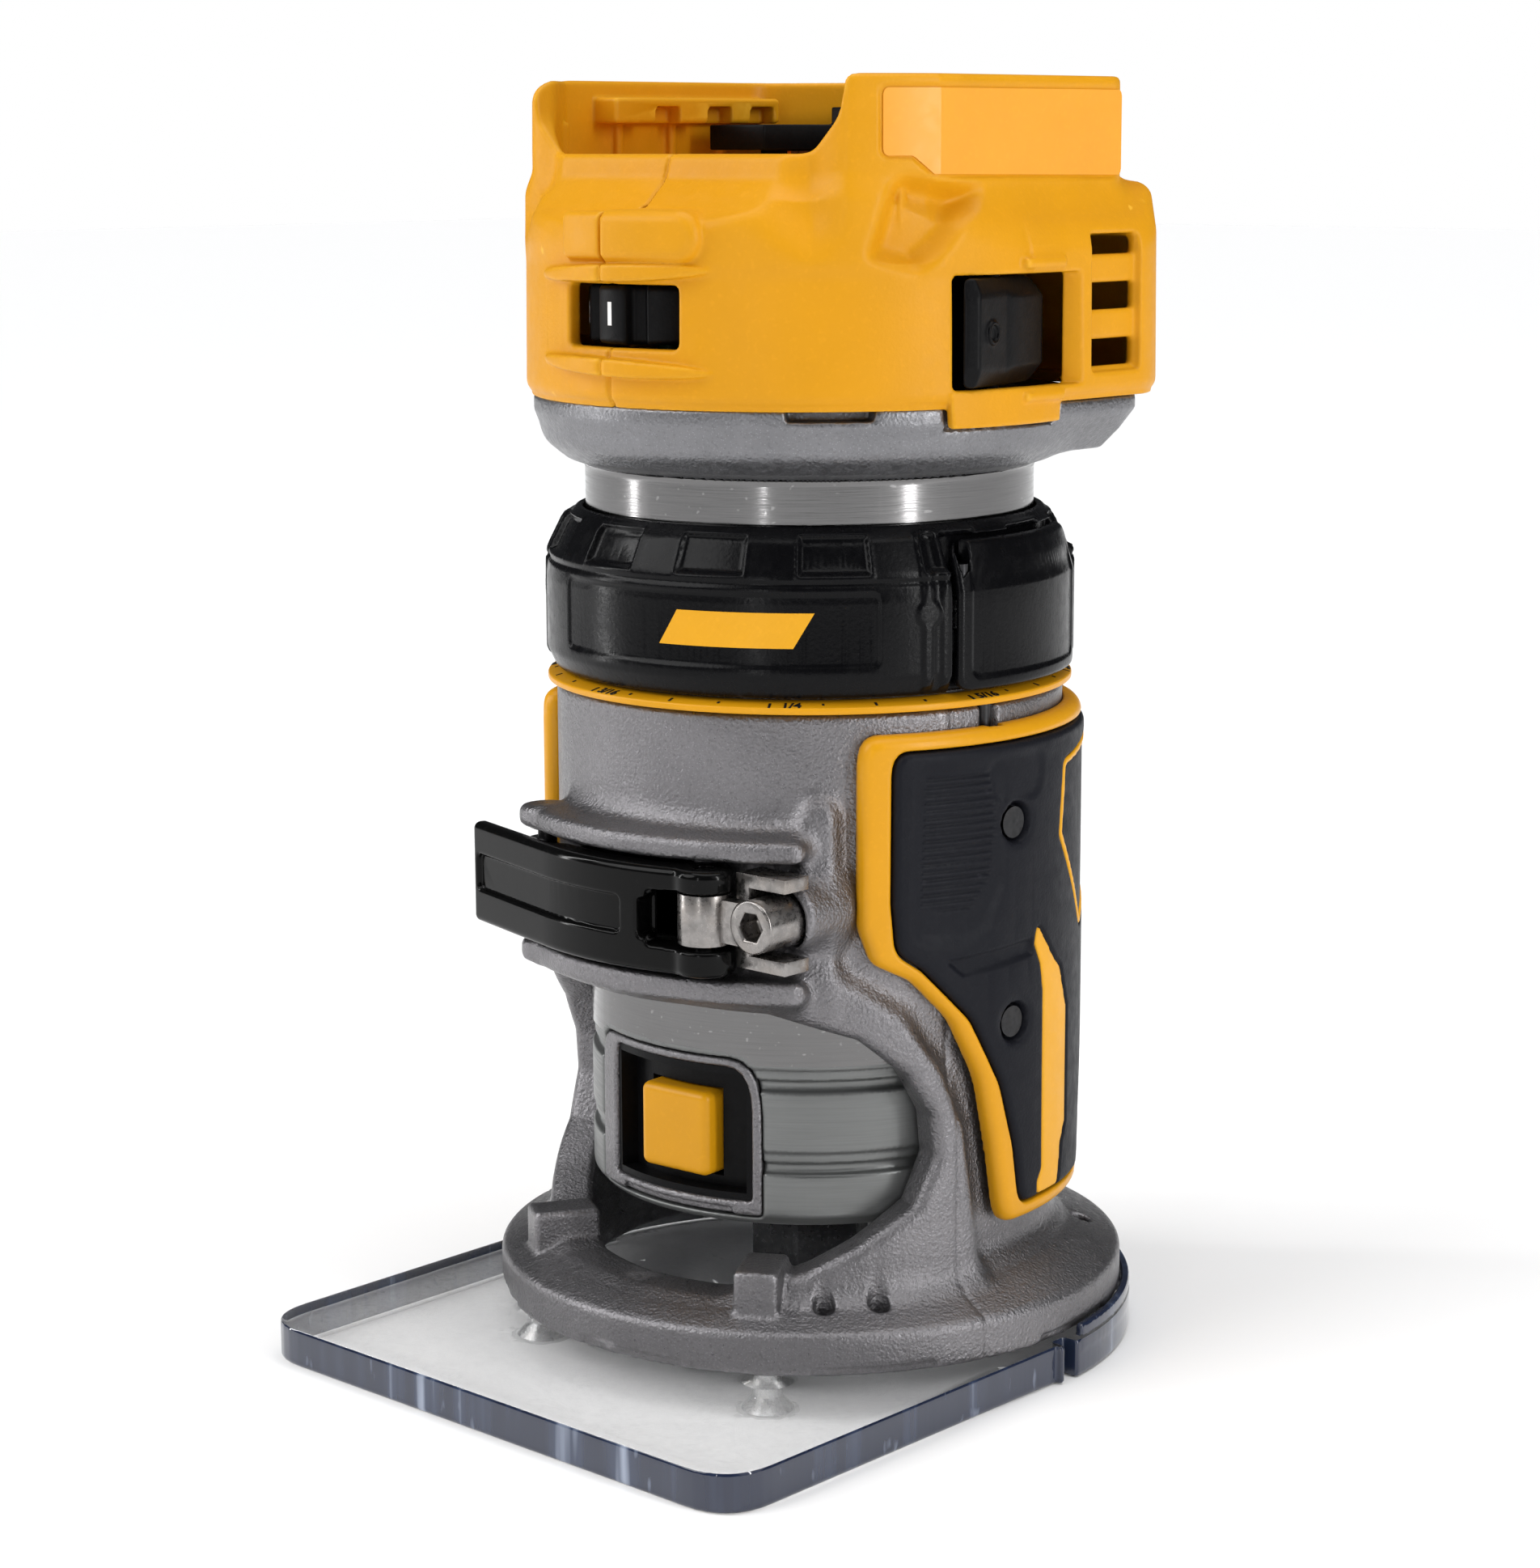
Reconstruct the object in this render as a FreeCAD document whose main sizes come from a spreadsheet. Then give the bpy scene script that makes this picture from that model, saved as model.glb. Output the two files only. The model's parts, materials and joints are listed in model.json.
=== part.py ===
import FreeCAD, Part
import Sketcher
import math
import os
import re

# Trim router: clear sub-base, cast base with grips and clamp, depth ring, and a motor
# unit that slides in the base. Millimetres, +Z up. The origin is on the spindle axis at
# the bottom face of the sub-base. The front, with the clamp lever and the spindle lock,
# is -Y. Angles around the axis are measured from the front towards +X.

doc = FreeCAD.newDocument("TrimRouter")
V = FreeCAD.Vector
Z_AXIS = V(0, 0, 1)

SIZES = [
    ("fit_gap", 0.05, "radial running clearance of turning pieces"),
    ("plate_half", 50.6, "half width of the sub-base"),
    ("plate_front", 73.3, "front edge to the spindle axis"),
    ("plate_thick", 6.35, "sub-base thickness"),
    ("plate_round", 51.6, "radius of the round rear"),
    ("plate_corner", 9, "front corner radius"),
    ("lip_height", 1.9, "lip around the rear of the casting"),
    ("pad_height", 0.65, "round pads under the casting"),
    ("bit_hole_r", 15.9, "bit opening radius"),
    ("boss_circle", 44.4, "radius of the sub-base screw circle"),
    ("screw_r", 2, "sub-base screw shank radius"),
    ("flange_r", 50, "outer radius of the base flange"),
    ("flange_hole", 36, "opening through the flange"),
    ("flange_edge", 13.2, "top of the flange's outer wall"),
    ("flange_top", 16.6, "top of the flange at the posts"),
    ("post_r", 38.6, "outer radius of the posts"),
    ("sleeve_r", 39.7, "outer radius of the sleeve"),
    ("sleeve_low", 58, "bottom of the guiding bore"),
    ("sleeve_top", 104.9, "shoulder under the scale ring"),
    ("neck_r", 37, "outer radius of the neck in the depth ring"),
    ("neck_top", 112, "top of the neck"),
    ("bore_r", 34.97, "guiding bore"),
    ("post_bore", 35.5, "inner radius between the posts"),
    ("arch_half", 34.4, "half width of the front opening"),
    ("arch_low", 15, "bottom of the front opening"),
    ("arch_top", 60.5, "top of the front opening"),
    ("arch_round", 15, "corner radius of the front opening"),
    ("rear_half", 22, "half width of the rear opening"),
    ("rear_top", 44, "top of the rear opening"),
    ("shelf_r", 46.3, "outer radius of the clamp shelves"),
    ("shelf_low", 63.3, "bottom of the lower shelf"),
    ("shelf_mid_low", 66.2, "top of the lower shelf"),
    ("shelf_mid_high", 83.9, "bottom of the upper shelf"),
    ("shelf_high", 86.4, "top edge of the upper shelf"),
    ("lever_low", 67, "bottom of the clamp lever"),
    ("lever_high", 83.2, "top of the clamp lever"),
    ("lever_in", 43.5, "inner radius of the clamp lever"),
    ("lever_out", 48.6, "outer radius of the clamp lever"),
    ("pivot_r", 45.5, "clamp lever pivot to the spindle axis"),
    ("pivot_deg", 22, "clamp lever pivot angle"),
    ("eye_r", 4, "yoke eye radius"),
    ("pin_r", 1.5, "clamp pin radius"),
    ("clamp_mid", 75.6, "mid height of the clamp"),
    ("tension_x", 27, "tension screw to the middle plane"),
    ("hinge_r", 43.2, "strap hinge pin to the spindle axis"),
    ("hinge_deg", -28, "strap hinge pin angle"),
    ("grip_out", 43.2, "outer radius of the grips"),
    ("grip_in", 39.75, "inner radius of the grips"),
    ("grip_top", 101.8, "top of the grips"),
    ("grip_low", 24.4, "bottom of the grips"),
    ("grip_half", 34.9, "half width of a grip, across its middle"),
    ("grip_foot", 14.5, "half width of a grip at its foot"),
    ("bezel_wide", 2.6, "width of the grip bezel"),
    ("grip_deg", 106, "angle of a grip's middle"),
    ("scale_r", 41.1, "outer radius of the scale ring"),
    ("scale_low", 105.2, "bottom of the scale ring"),
    ("ring_low", 107.4, "bottom of the depth ring"),
    ("ring_r", 41.1, "outer radius of the depth ring"),
    ("ring_top", 132.3, "top of the depth ring"),
    ("tab_low", 107.3, "bottom of a release tab"),
    ("tab_high", 129, "top of a release tab"),
    ("tab_in", 38.6, "inner radius of a release tab"),
    ("tab_out", 41.4, "outer radius of a release tab"),
    ("tab_low_in", 39.9, "inner radius of a tab's lower part"),
    ("tab_step", 113.8, "height where a tab gets thicker"),
    ("tab_hinge_r", 39.4, "tab hinge pin to the spindle axis"),
    ("tab_bed", 36.4, "depth ring radius behind a tab"),
    ("tab_low_bed", 38.4, "depth ring radius behind a tab's lower part"),
    ("tube_r", 34.9, "motor tube radius, 2.75 in diameter"),
    ("tube_in", 32.2, "motor tube inner radius"),
    ("tube_low", 25.3, "bottom of the motor unit"),
    ("cone_low", 138.85, "bottom of the flared top"),
    ("cone_out", 42.2, "radius of the flared top"),
    ("cone_top", 149.3, "top of the metal housing"),
    ("shell_r", 43.7, "front radius of the top housing"),
    ("shell_side", 44, "half width of the top housing"),
    ("shell_side_y", 31, "rear end of the straight sides"),
    ("shell_back_x", 31, "half width of the rear face"),
    ("shell_back", 45.5, "rear face of the top housing"),
    ("shell_mid", 181, "shoulder of the top housing"),
    ("shell_wall", 2.6, "wall thickness of the top housing"),
    ("bay_side", 39.5, "half width over the battery bay"),
    ("bay_side_y", 27, "rear end of the straight bay walls"),
    ("bay_back_x", 25, "half width of the bay's rear wall"),
    ("bay_back", 42, "rear face of the battery bay"),
    ("bay_floor", 176, "floor of the battery bay"),
    ("bay_sill", 185.8, "top of the low front wall"),
    ("sill_y", 30.4, "front edge of the low front wall"),
    ("bay_top", 197, "top of the bay walls"),
    ("rail_x", 29.5, "battery rail to the middle plane"),
    ("rail_low", 190.4, "underside of the battery rails"),
    ("rail_high", 194.4, "top of the battery rails"),
    ("dial_r", 12, "speed dial radius"),
    ("dial_x", 0, "speed dial axis to the middle plane"),
    ("dial_y", 30.6, "speed dial axis in front of the spindle"),
    ("dial_low", 158.4, "bottom of the speed dial"),
    ("dial_high", 167.2, "top of the speed dial"),
    ("switch_low", 152, "bottom of the switch window"),
    ("switch_high", 168.5, "top of the switch window"),
    ("rocker_x", 39.5, "rocker pivot to the middle plane"),
    ("rocker_y", -4.2, "rocker pivot"),
    ("button_deg", 4, "spindle lock button angle"),
    ("button_z", 38.6, "spindle lock button height"),
    ("shaft_r", 4, "motor shaft radius"),
    ("nose_r", 8.5, "spindle radius in the lower bearing"),
    ("collet_r", 3.175, "collet bore radius, 1/4 in"),
    ("nut_low", 9.5, "bottom of the collet nut"),
    ("nut_high", 22.5, "top of the collet nut"),
    ("nut_flats", 17, "collet nut across the flats"),
    ("stator_low", 62, "bottom of the stator"),
    ("stator_high", 100, "top of the stator"),
    ("stator_in", 18, "stator bore radius"),
]

sheet = doc.addObject("Spreadsheet::Sheet", "Sizes")
for row, (alias, value, note) in enumerate(SIZES, start=1):
    sheet.set(f"A{row}", note)
    sheet.set(f"B{row}", str(value))
    sheet.setAlias(f"B{row}", alias)
doc.recompute()
ALIASES = {alias for alias, value, note in SIZES}
NODES = []


def size(alias):
    """The number in the sheet's cell."""
    return float(getattr(sheet, alias))


def formula(text):
    """Text with each alias written as a cell of the sheet."""
    return re.sub(r"[a-z][a-z0-9_]*", lambda m: "Sizes." + m[0] if m[0] in ALIASES else m[0], str(text))


def bind(obj, **values):
    """Bind properties of obj to formulas of the sheet's cells."""
    for prop, text in values.items():
        obj.setExpression(prop, formula(text))


def about_z(degrees):
    return FreeCAD.Rotation(Z_AXIS, degrees)


def place(obj, x="0", y="0", z="0", turn=FreeCAD.Rotation(), around=0):
    """Turn obj in place, move it to x, y, z, then carry it around the spindle axis."""
    obj.Placement = FreeCAD.Placement(V(), about_z(around) * turn)
    if around:
        x, y = (f"({x}) * cos({around}) - ({y}) * sin({around})",
                f"({x}) * sin({around}) + ({y}) * cos({around})")
    obj.setExpression("Placement.Base.x", formula(x))
    obj.setExpression("Placement.Base.y", formula(y))
    obj.setExpression("Placement.Base.z", formula(z))
    return obj


TO_FRONT = FreeCAD.Rotation(V(1, 0, 0), 90)
TO_RIGHT = FreeCAD.Rotation(V(0, 1, 0), 90)


# ---- features -----------------------------------------------------------------------

def polygon(body, role, points):
    """A closed sketch on an origin plane, with each corner bound to the sheet."""
    plane = [f for f in body.Origin.OriginFeatures if f.Role == role][0]
    sketch = body.newObject("Sketcher::SketchObject", body.Name + "Sketch")
    sketch.AttachmentSupport = [(plane, "")]
    sketch.MapMode = "FlatFace"
    count = len(points)
    ring = [V(10 * math.cos(2 * math.pi * i / count), 10 * math.sin(2 * math.pi * i / count), 0)
            for i in range(count)]
    for i in range(count):
        sketch.addGeometry(Part.LineSegment(ring[i], ring[(i + 1) % count]))
    for i in range(count):
        sketch.addConstraint(Sketcher.Constraint("Coincident", i, 2, (i + 1) % count, 1))
    for i, corner in enumerate(points):
        for kind, start, text in (("DistanceX", ring[i].x, corner[0]), ("DistanceY", ring[i].y, corner[1])):
            index = sketch.addConstraint(Sketcher.Constraint(kind, -1, 1, i, 1, start))
            sketch.setExpression(f"Constraints[{index}]", formula(text))
    return sketch


def turned(name, points, angle=360, start=0):
    """A body turned about the spindle axis from (radius, height) corners."""
    body = doc.addObject("PartDesign::Body", name)
    sketch = polygon(body, "XZ_Plane", points)
    feature = body.newObject("PartDesign::Revolution", name + "Turned")
    feature.Profile = sketch
    feature.ReferenceAxis = (sketch, ["V_Axis"])
    feature.Angle = angle
    if angle < 360:
        body.Placement = FreeCAD.Placement(V(), about_z(start - 90))
    doc.recompute()
    if angle < 360 and feature.Shape.CenterOfMass.y < 0:
        feature.Reversed = True
    return body


def plate(name, role, points, length, x="0", y="0", z="0", around=0, rounds=()):
    """A padded outline; rounds is a list of (radius, test of an edge)."""
    body = doc.addObject("PartDesign::Body", name)
    sketch = polygon(body, role, points)
    feature = body.newObject("PartDesign::Pad", name + "Pad")
    feature.Profile = sketch
    bind(feature, Length=length)
    for number, (radius, test) in enumerate(rounds):
        doc.recompute()
        picked = [f"Edge{i}" for i, edge in enumerate(feature.Shape.Edges, start=1) if test(edge)]
        rounded = body.newObject("PartDesign::Fillet", f"{name}Round{number}")
        rounded.Base = (feature, picked)
        bind(rounded, Radius=radius)
        feature = rounded
    return place(body, x, y, z, around=around)


def along(axis, keep=lambda point: True):
    """A test for straight edges along an axis, at places that keep accepts."""
    def test(edge):
        if not isinstance(edge.Curve, Part.Line):
            return False
        return abs(edge.Curve.Direction.dot(axis)) > 0.999 and keep(edge.CenterOfMass)
    return test


def cylinder(name, radius, height, x="0", y="0", z="0", turn=FreeCAD.Rotation(), around=0, angle=360):
    obj = doc.addObject("Part::Cylinder", name)
    bind(obj, Radius=radius, Height=height)
    obj.Angle = angle
    return place(obj, x, y, z, turn, around)


def box(name, length, width, height, x="0", y="0", z="0", turn=FreeCAD.Rotation(), around=0):
    """A box whose place is its lowest corner."""
    obj = doc.addObject("Part::Box", name)
    bind(obj, Length=length, Width=width, Height=height)
    return place(obj, x, y, z, turn, around)


def cone(name, low_r, high_r, height, x="0", y="0", z="0"):
    obj = doc.addObject("Part::Cone", name)
    bind(obj, Radius1=low_r, Radius2=high_r, Height=height)
    return place(obj, x, y, z)


def fuse(name, *shapes):
    obj = doc.addObject("Part::MultiFuse", name)
    obj.Shapes = list(shapes)
    obj.Refine = True
    return obj


def common(name, *shapes):
    obj = doc.addObject("Part::MultiCommon", name)
    obj.Shapes = list(shapes)
    obj.Refine = True
    return obj


def cut(name, base, *tools):
    obj = doc.addObject("Part::Cut", name)
    obj.Base = base
    obj.Tool = tools[0] if len(tools) == 1 else fuse(name + "Tools", *tools)
    obj.Refine = True
    return obj


def group(name, shapes):
    """Separate solids in one node."""
    obj = doc.addObject("Part::Compound", name)
    obj.Links = shapes
    return obj


def mirrored(name, source):
    """The mirror image of source in the middle plane."""
    obj = doc.addObject("Part::Mirroring", name)
    obj.Source = source
    obj.Normal = V(1, 0, 0)
    return obj


def tube(name, outer, inner, height, z, x="0", y="0"):
    return cut(name, cylinder(name + "Outer", outer, height, x, y, z),
               cylinder(name + "Inner", inner, height, x, y, z))


def sector(name, outer, inner, height, z, start, stop):
    """A piece of a ring between two angles."""
    turn = about_z(start - 90)
    return cut(name, cylinder(name + "Outer", outer, height, z=z, turn=turn, angle=stop - start),
               cylinder(name + "Inner", inner, height, z=z))


def polar(radius, degrees):
    """Formulas of the place at a radius and an angle from the front."""
    return f"({radius}) * sin({degrees})", f"-({radius}) * cos({degrees})"


def node(obj, name):
    """Name a finished sub-part."""
    obj.Label = name
    NODES.append(obj)
    return obj


# ---- base -----------------------------------------------------------------------------

SCREW_ANGLES = [-33.5, 33.5, 135, 225]
PAD_ANGLES = [-45, -22, 0, 22, 45, -68, 68, 135, 180, 225]


def sub_base_plate():
    outline = [("-plate_half", "-plate_front"), ("plate_half", "-plate_front"),
               ("plate_half", "0"), ("-plate_half", "0")]
    front = plate("PlateFront", "XY_Plane", outline, "plate_thick",
                  rounds=[("plate_corner", along(Z_AXIS, lambda p: p.y < -10))])
    rear = cylinder("PlateRear", "plate_round", "plate_thick", angle=180)
    lip = sector("PlateLip", "plate_round", "flange_r + 0.25", "lip_height", "plate_thick", 96, 264)
    pads = [cylinder(f"PlatePad{angle}", "4.3", "pad_height + 0.5",
                     *polar("boss_circle", angle), "plate_thick - 0.5")
            for angle in PAD_ANGLES]
    holes = [cylinder(f"PlateHole{angle}", "screw_r + 0.3", "plate_thick + 2",
                      *polar("boss_circle", angle), "-1") for angle in SCREW_ANGLES]
    sinks = [cone(f"PlateSink{angle}", "4.3", "screw_r + 0.3", "2.2",
                  *polar("boss_circle", angle), "-0.01") for angle in SCREW_ANGLES]
    notches = [box(f"PlateNotch{side}", "3", "3", "plate_thick + 4",
                   f"{side} * 50.3 - 1.5", "1", "-1") for side in (-1, 1)]
    opening = cylinder("PlateOpening", "bit_hole_r", "plate_thick + 2", z="-1")
    whole = fuse("PlateSolid", front, rear, lip, *pads)
    return node(cut("SubBasePlate", whole, opening, *notches, *holes, *sinks), "sub_base_plate")


def sub_base_screws():
    screws = []
    for angle in SCREW_ANGLES:
        spot = polar("boss_circle", angle)
        head = cone(f"ScrewHead{angle}", "4", "screw_r", "2", *spot, "0.2")
        shank = cylinder(f"ScrewShank{angle}", "screw_r", "10", *spot, "1.2")
        socket = cylinder(f"ScrewSocket{angle}", "1.3", "1.4", *spot, "0")
        screws.append(cut(f"Screw{angle}", fuse(f"ScrewBody{angle}", head, shank), socket))
    return node(group("SubBaseScrews", screws), "sub_base_screws")


def arch(name, half, low, top, radius, y):
    outline = [(f"-{half}", low), (half, low), (half, top), (f"-{half}", top)]
    return plate(name, "XZ_Plane", outline, "40", y=y, rounds=[(radius, along(V(0, 1, 0)))])


def base_casting():
    ring = turned("CastRing", [("flange_hole", "plate_thick + pad_height"),
                               ("flange_r", "plate_thick + pad_height"), ("flange_r", "flange_edge"),
                               ("post_r + 2.6", "flange_top"), ("post_r", "flange_top + 2"),
                               ("post_r", "arch_top - 6"), ("sleeve_r", "arch_top"),
                               ("sleeve_r", "sleeve_top"), ("neck_r", "sleeve_top"),
                               ("neck_r", "neck_top"), ("bore_r", "neck_top"),
                               ("bore_r", "sleeve_low"), ("post_bore", "sleeve_low"),
                               ("post_bore", "flange_top - 1"), ("flange_hole", "flange_top - 1.6")])
    rim = common("CastRim", arch("RimOutline", "(arch_half + 4.6)", "arch_low - 1", "arch_top + 4.4",
                                 "arch_round + 3", "-8"),
                 tube("RimRing", "post_r + 1.1", "post_r - 1", "arch_top + 10 - flange_edge", "flange_edge"))
    shelf_low = turned("ShelfLow", [("sleeve_r - 2", "shelf_low - 3.4"), ("sleeve_r + 1", "shelf_low - 2.6"),
                                    ("shelf_r", "shelf_low"), ("shelf_r", "shelf_mid_low"),
                                    ("sleeve_r - 2", "shelf_mid_low")], angle=66, start=-25)
    shelf_high = turned("ShelfHigh", [("sleeve_r - 2", "shelf_mid_high"), ("shelf_r", "shelf_mid_high"),
                                      ("shelf_r", "shelf_high"), ("sleeve_r + 2", "shelf_high + 1"),
                                      ("sleeve_r - 2", "shelf_high + 5")], angle=66, start=-25)
    ears = [cylinder(f"HingeEar{low}", "4.1", height, *polar("hinge_r", "hinge_deg"), low)
            for low, height in (("shelf_low", "shelf_mid_low - shelf_low"),
                                ("shelf_mid_high", "shelf_high - shelf_mid_high"))]
    boss = cylinder("TensionBoss", "4.9", "7.4", "tension_x + 0.4", "-27.6", "clamp_mid + 0.6", TO_FRONT)
    lugs = [box(f"Lug{side}", "6.6", "11", "9.6", "-3.3", "-46.2", "12.4", around=34 * side)
            for side in (-1, 1)]
    bosses = [cylinder(f"BaseBoss{angle}", "4.6", "7", *polar("boss_circle", angle),
                       "plate_thick + pad_height") for angle in SCREW_ANGLES]
    whole = fuse("CastSolid", ring, rim, shelf_low, shelf_high, boss, *ears, *lugs, *bosses)

    bore = cylinder("CastBore", "bore_r", "neck_top + 2 - flange_top", z="flange_top")
    low_bore = cylinder("CastLowBore", "post_bore", "sleeve_low - flange_top", z="flange_top")
    front = arch("FrontOpening", "arch_half", "arch_low", "arch_top", "arch_round", "-8")
    rear = arch("RearOpening", "rear_half", "arch_low + 0.6", "rear_top", "8", "54")
    window = sector("ShoeWindow", "sleeve_r + 3", "30", "13.6", "68.8", -21.5, 16.5)
    tapped = [cylinder(f"TappedHole{angle}", "1.65", "10", *polar("43.6", angle), "8.4")
              for angle in (44.5, 55.5, 133)]
    spot_face = sector("SpotFace", "47.4", "40.2", "5", "flange_edge + 0.3", 40, 60)
    screw_holes = [cylinder(f"BaseTap{angle}", "screw_r", "5.6", *polar("boss_circle", angle), "6")
                   for angle in SCREW_ANGLES]
    hinge_hole = cylinder("HingeHole", "pin_r + 0.02", "30", *polar("hinge_r", "hinge_deg"), "60")
    tension_hole = cylinder("TensionHole", "4.1", "20", "tension_x", "-26.6", "clamp_mid", TO_FRONT)
    guide_holes = [cylinder(f"GuideHole{side}", "1.22", "6", *polar("sleeve_r - 1.4", side * 84.4),
                            "sleeve_top - 5") for side in (-1, 1)]
    eye_room = cylinder("EyeRoom", "eye_r + 0.8", "15", *polar("pivot_r", "pivot_deg"), "lever_low")
    return node(cut("BaseCasting", whole, bore, low_bore, front, rear, window, spot_face, *tapped,
                    *screw_holes, hinge_hole, tension_hole, *guide_holes, eye_room),
                "base_casting")


def guide_pins():
    pins = [cylinder(f"GuidePin{side}", "1.2", "5.2", *polar("sleeve_r - 1.4", side * 84.4),
                     "sleeve_top - 5") for side in (-1, 1)]
    return node(group("GuidePins", pins), "guide_pins")


def grip_outline(inset):
    """Half width and height of a grip seen from its middle, drawn in by inset."""
    half = f"(grip_half - {inset})"
    foot = f"(grip_foot - {inset})"
    right = [(half, f"grip_top - {inset}"), (half, f"70 + 0.6 * {inset}"),
             ("grip_half - 9 - " + inset, f"62.5 + 0.4 * {inset}"), (foot + " + 2.5", "45"),
             (foot, f"grip_low + {inset}")]
    left = [(f"-({x})", z) for x, z in reversed(right)]
    return right + left


def grip_solid(name, inset, outer, edge):
    """A grip drawn in by inset, from one edge angle to its mirror in the grip's middle."""
    def corner(edge):
        point = edge.CenterOfMass
        return along(V(1, 0, 0))(edge) and (point.z > 95 or point.z < 40 or abs(point.y) > 30)
    form = plate(name + "Form", "YZ_Plane", grip_outline(inset), "60",
                 around=size("grip_deg") - 90, rounds=[("5", corner)])
    ring = sector(name + "Ring", outer, "grip_in", "90", "grip_low - 4", edge, 2 * size("grip_deg") - edge)
    return common(name, form, ring)


def right_grip():
    bezel = cut("RightBezel", grip_solid("BezelSolid", "0", "grip_out - 0.4", 51.7),
                grip_solid("BezelRoom", "bezel_wide", "grip_out + 1", 58.3))
    pad = grip_solid("RightPadSolid", "bezel_wide", "grip_out", 58.3)
    screws = [cylinder(f"GripScrew{i}", "2.4", "4", "39.3", "0", z, TO_RIGHT, around=88.3 - 90)
              for i, z in enumerate(("87", "56.2"))]
    pad = cut("RightPad", pad, *screws)
    node(bezel, "right_grip_bezel")
    node(pad, "right_grip_pad")
    node(mirrored("LeftBezel", bezel), "left_grip_bezel")
    node(mirrored("LeftPad", pad), "left_grip_pad")
    right_screws = [common(f"GripScrewHead{i}", screw, tube(f"GripScrewRing{i}", "grip_out - 0.9", "grip_in",
                                                            "90", "20")) for i, screw in enumerate(screws)]
    left_screws = [mirrored(f"GripScrewMirror{i}", screw) for i, screw in enumerate(right_screws)]
    node(group("GripScrews", right_screws + left_screws), "grip_screws")


# ---- clamp ------------------------------------------------------------------------------

def clamp_lever():
    bar = sector("LeverBar", "lever_out", "lever_in", "lever_high - lever_low", "lever_low", -15, 22)
    tail_outline = [("0.4", "lever_in + 0.3"), ("0.4", "lever_out - 0.3"), ("-20", "lever_out + 0.7"),
                    ("-22.5", "lever_out - 0.6"), ("-22.5", "lever_out - 2"), ("-4", "lever_out - 2.7")]
    tail = plate("LeverTail", "XY_Plane", [(x, f"-({r})") for x, r in tail_outline],
                 "lever_high - lever_low", z="lever_low", around=-15)
    end = cylinder("LeverEnd", "4.7", "lever_high - lever_low", *polar("pivot_r", "pivot_deg"), "lever_low")
    slot = cylinder("LeverSlot", "eye_r + 4.6", "8.6", *polar("pivot_r", "pivot_deg"), "clamp_mid - 4.3")
    hole = cylinder("LeverHole", "pin_r + 0.05", "30", *polar("pivot_r", "pivot_deg"), "60")
    return node(cut("ClampLever", fuse("LeverSolid", bar, tail, end), slot, hole), "clamp_lever")


def clamp_yoke():
    spot = polar("pivot_r", "pivot_deg")
    eye = cylinder("YokeEye", "eye_r", "7.6", *spot, "clamp_mid - 3.8")
    arm = box("YokeArm", "10.5", "3.6", "6.4", "16.5", "-42.9", "clamp_mid - 3.2")
    web = box("YokeWeb", "2.4", "5.2", "14.2", "21.9", "-40.5", "clamp_mid - 7.1")
    flanges = [box(f"YokeFlange{side}", "9.4", "5.2", "2", "22", "-40.5", f"clamp_mid + {side} * 6.1 - 1")
               for side in (-1, 1)]
    barrel = cylinder("YokeBarrelRoom", "4.08", "30", "tension_x", "-20", "clamp_mid", TO_FRONT)
    pin = cylinder("YokePinRoom", "pin_r", "30", *spot, "60")
    return node(cut("ClampYoke", fuse("YokeSolid", eye, arm, web, *flanges), barrel, pin), "clamp_yoke")


def clamp_pins():
    lever_pin = cylinder("LeverPin", "pin_r", "lever_high - lever_low - 1",
                         *polar("pivot_r", "pivot_deg"), "lever_low + 0.5")
    strap_pin = cylinder("StrapPin", "pin_r", "shelf_high - shelf_low",
                         *polar("hinge_r", "hinge_deg"), "shelf_low + 0.2")
    node(lever_pin, "lever_pin")
    node(strap_pin, "strap_pin")


def clamp_shoe():
    shoe = sector("ShoeBar", "38.6", "tube_r + 0.03", "12.6", "69.3", -21, 16)
    eye = cylinder("ShoeEye", "2.9", "12.6", *polar("hinge_r", "hinge_deg"), "69.3")
    arm = sector("ShoeArm", "lever_in - 0.5", "sleeve_r + 0.4", "12.6", "69.3", -28, -16)
    riser = sector("ShoeRiser", "lever_in - 0.5", "37", "12.6", "69.3", -21, -16)
    hole = cylinder("ShoeHole", "pin_r + 0.05", "30", *polar("hinge_r", "hinge_deg"), "60")
    return node(cut("ClampShoe", fuse("ShoeSolid", shoe, eye, arm, riser), hole), "clamp_shoe")


def tension_screw():
    barrel = cylinder("Barrel", "4", "14", "tension_x", "-29.2", "clamp_mid", TO_FRONT)
    socket = plate("BarrelSocket", "XZ_Plane", hexagon("2"), "5", "tension_x", "-39.2", "clamp_mid")
    return node(cut("TensionScrew", barrel, socket), "tension_screw")


def hexagon(half_flats):
    """Corners of a hexagon from half its width across the flats."""
    radius = f"({half_flats}) / cos(30)"
    return [(f"{radius} * cos({60 * i})", f"{radius} * sin({60 * i})") for i in range(6)]


# ---- depth ring ---------------------------------------------------------------------------

TAB_CENTRES = [99.5, 279.5]


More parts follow.
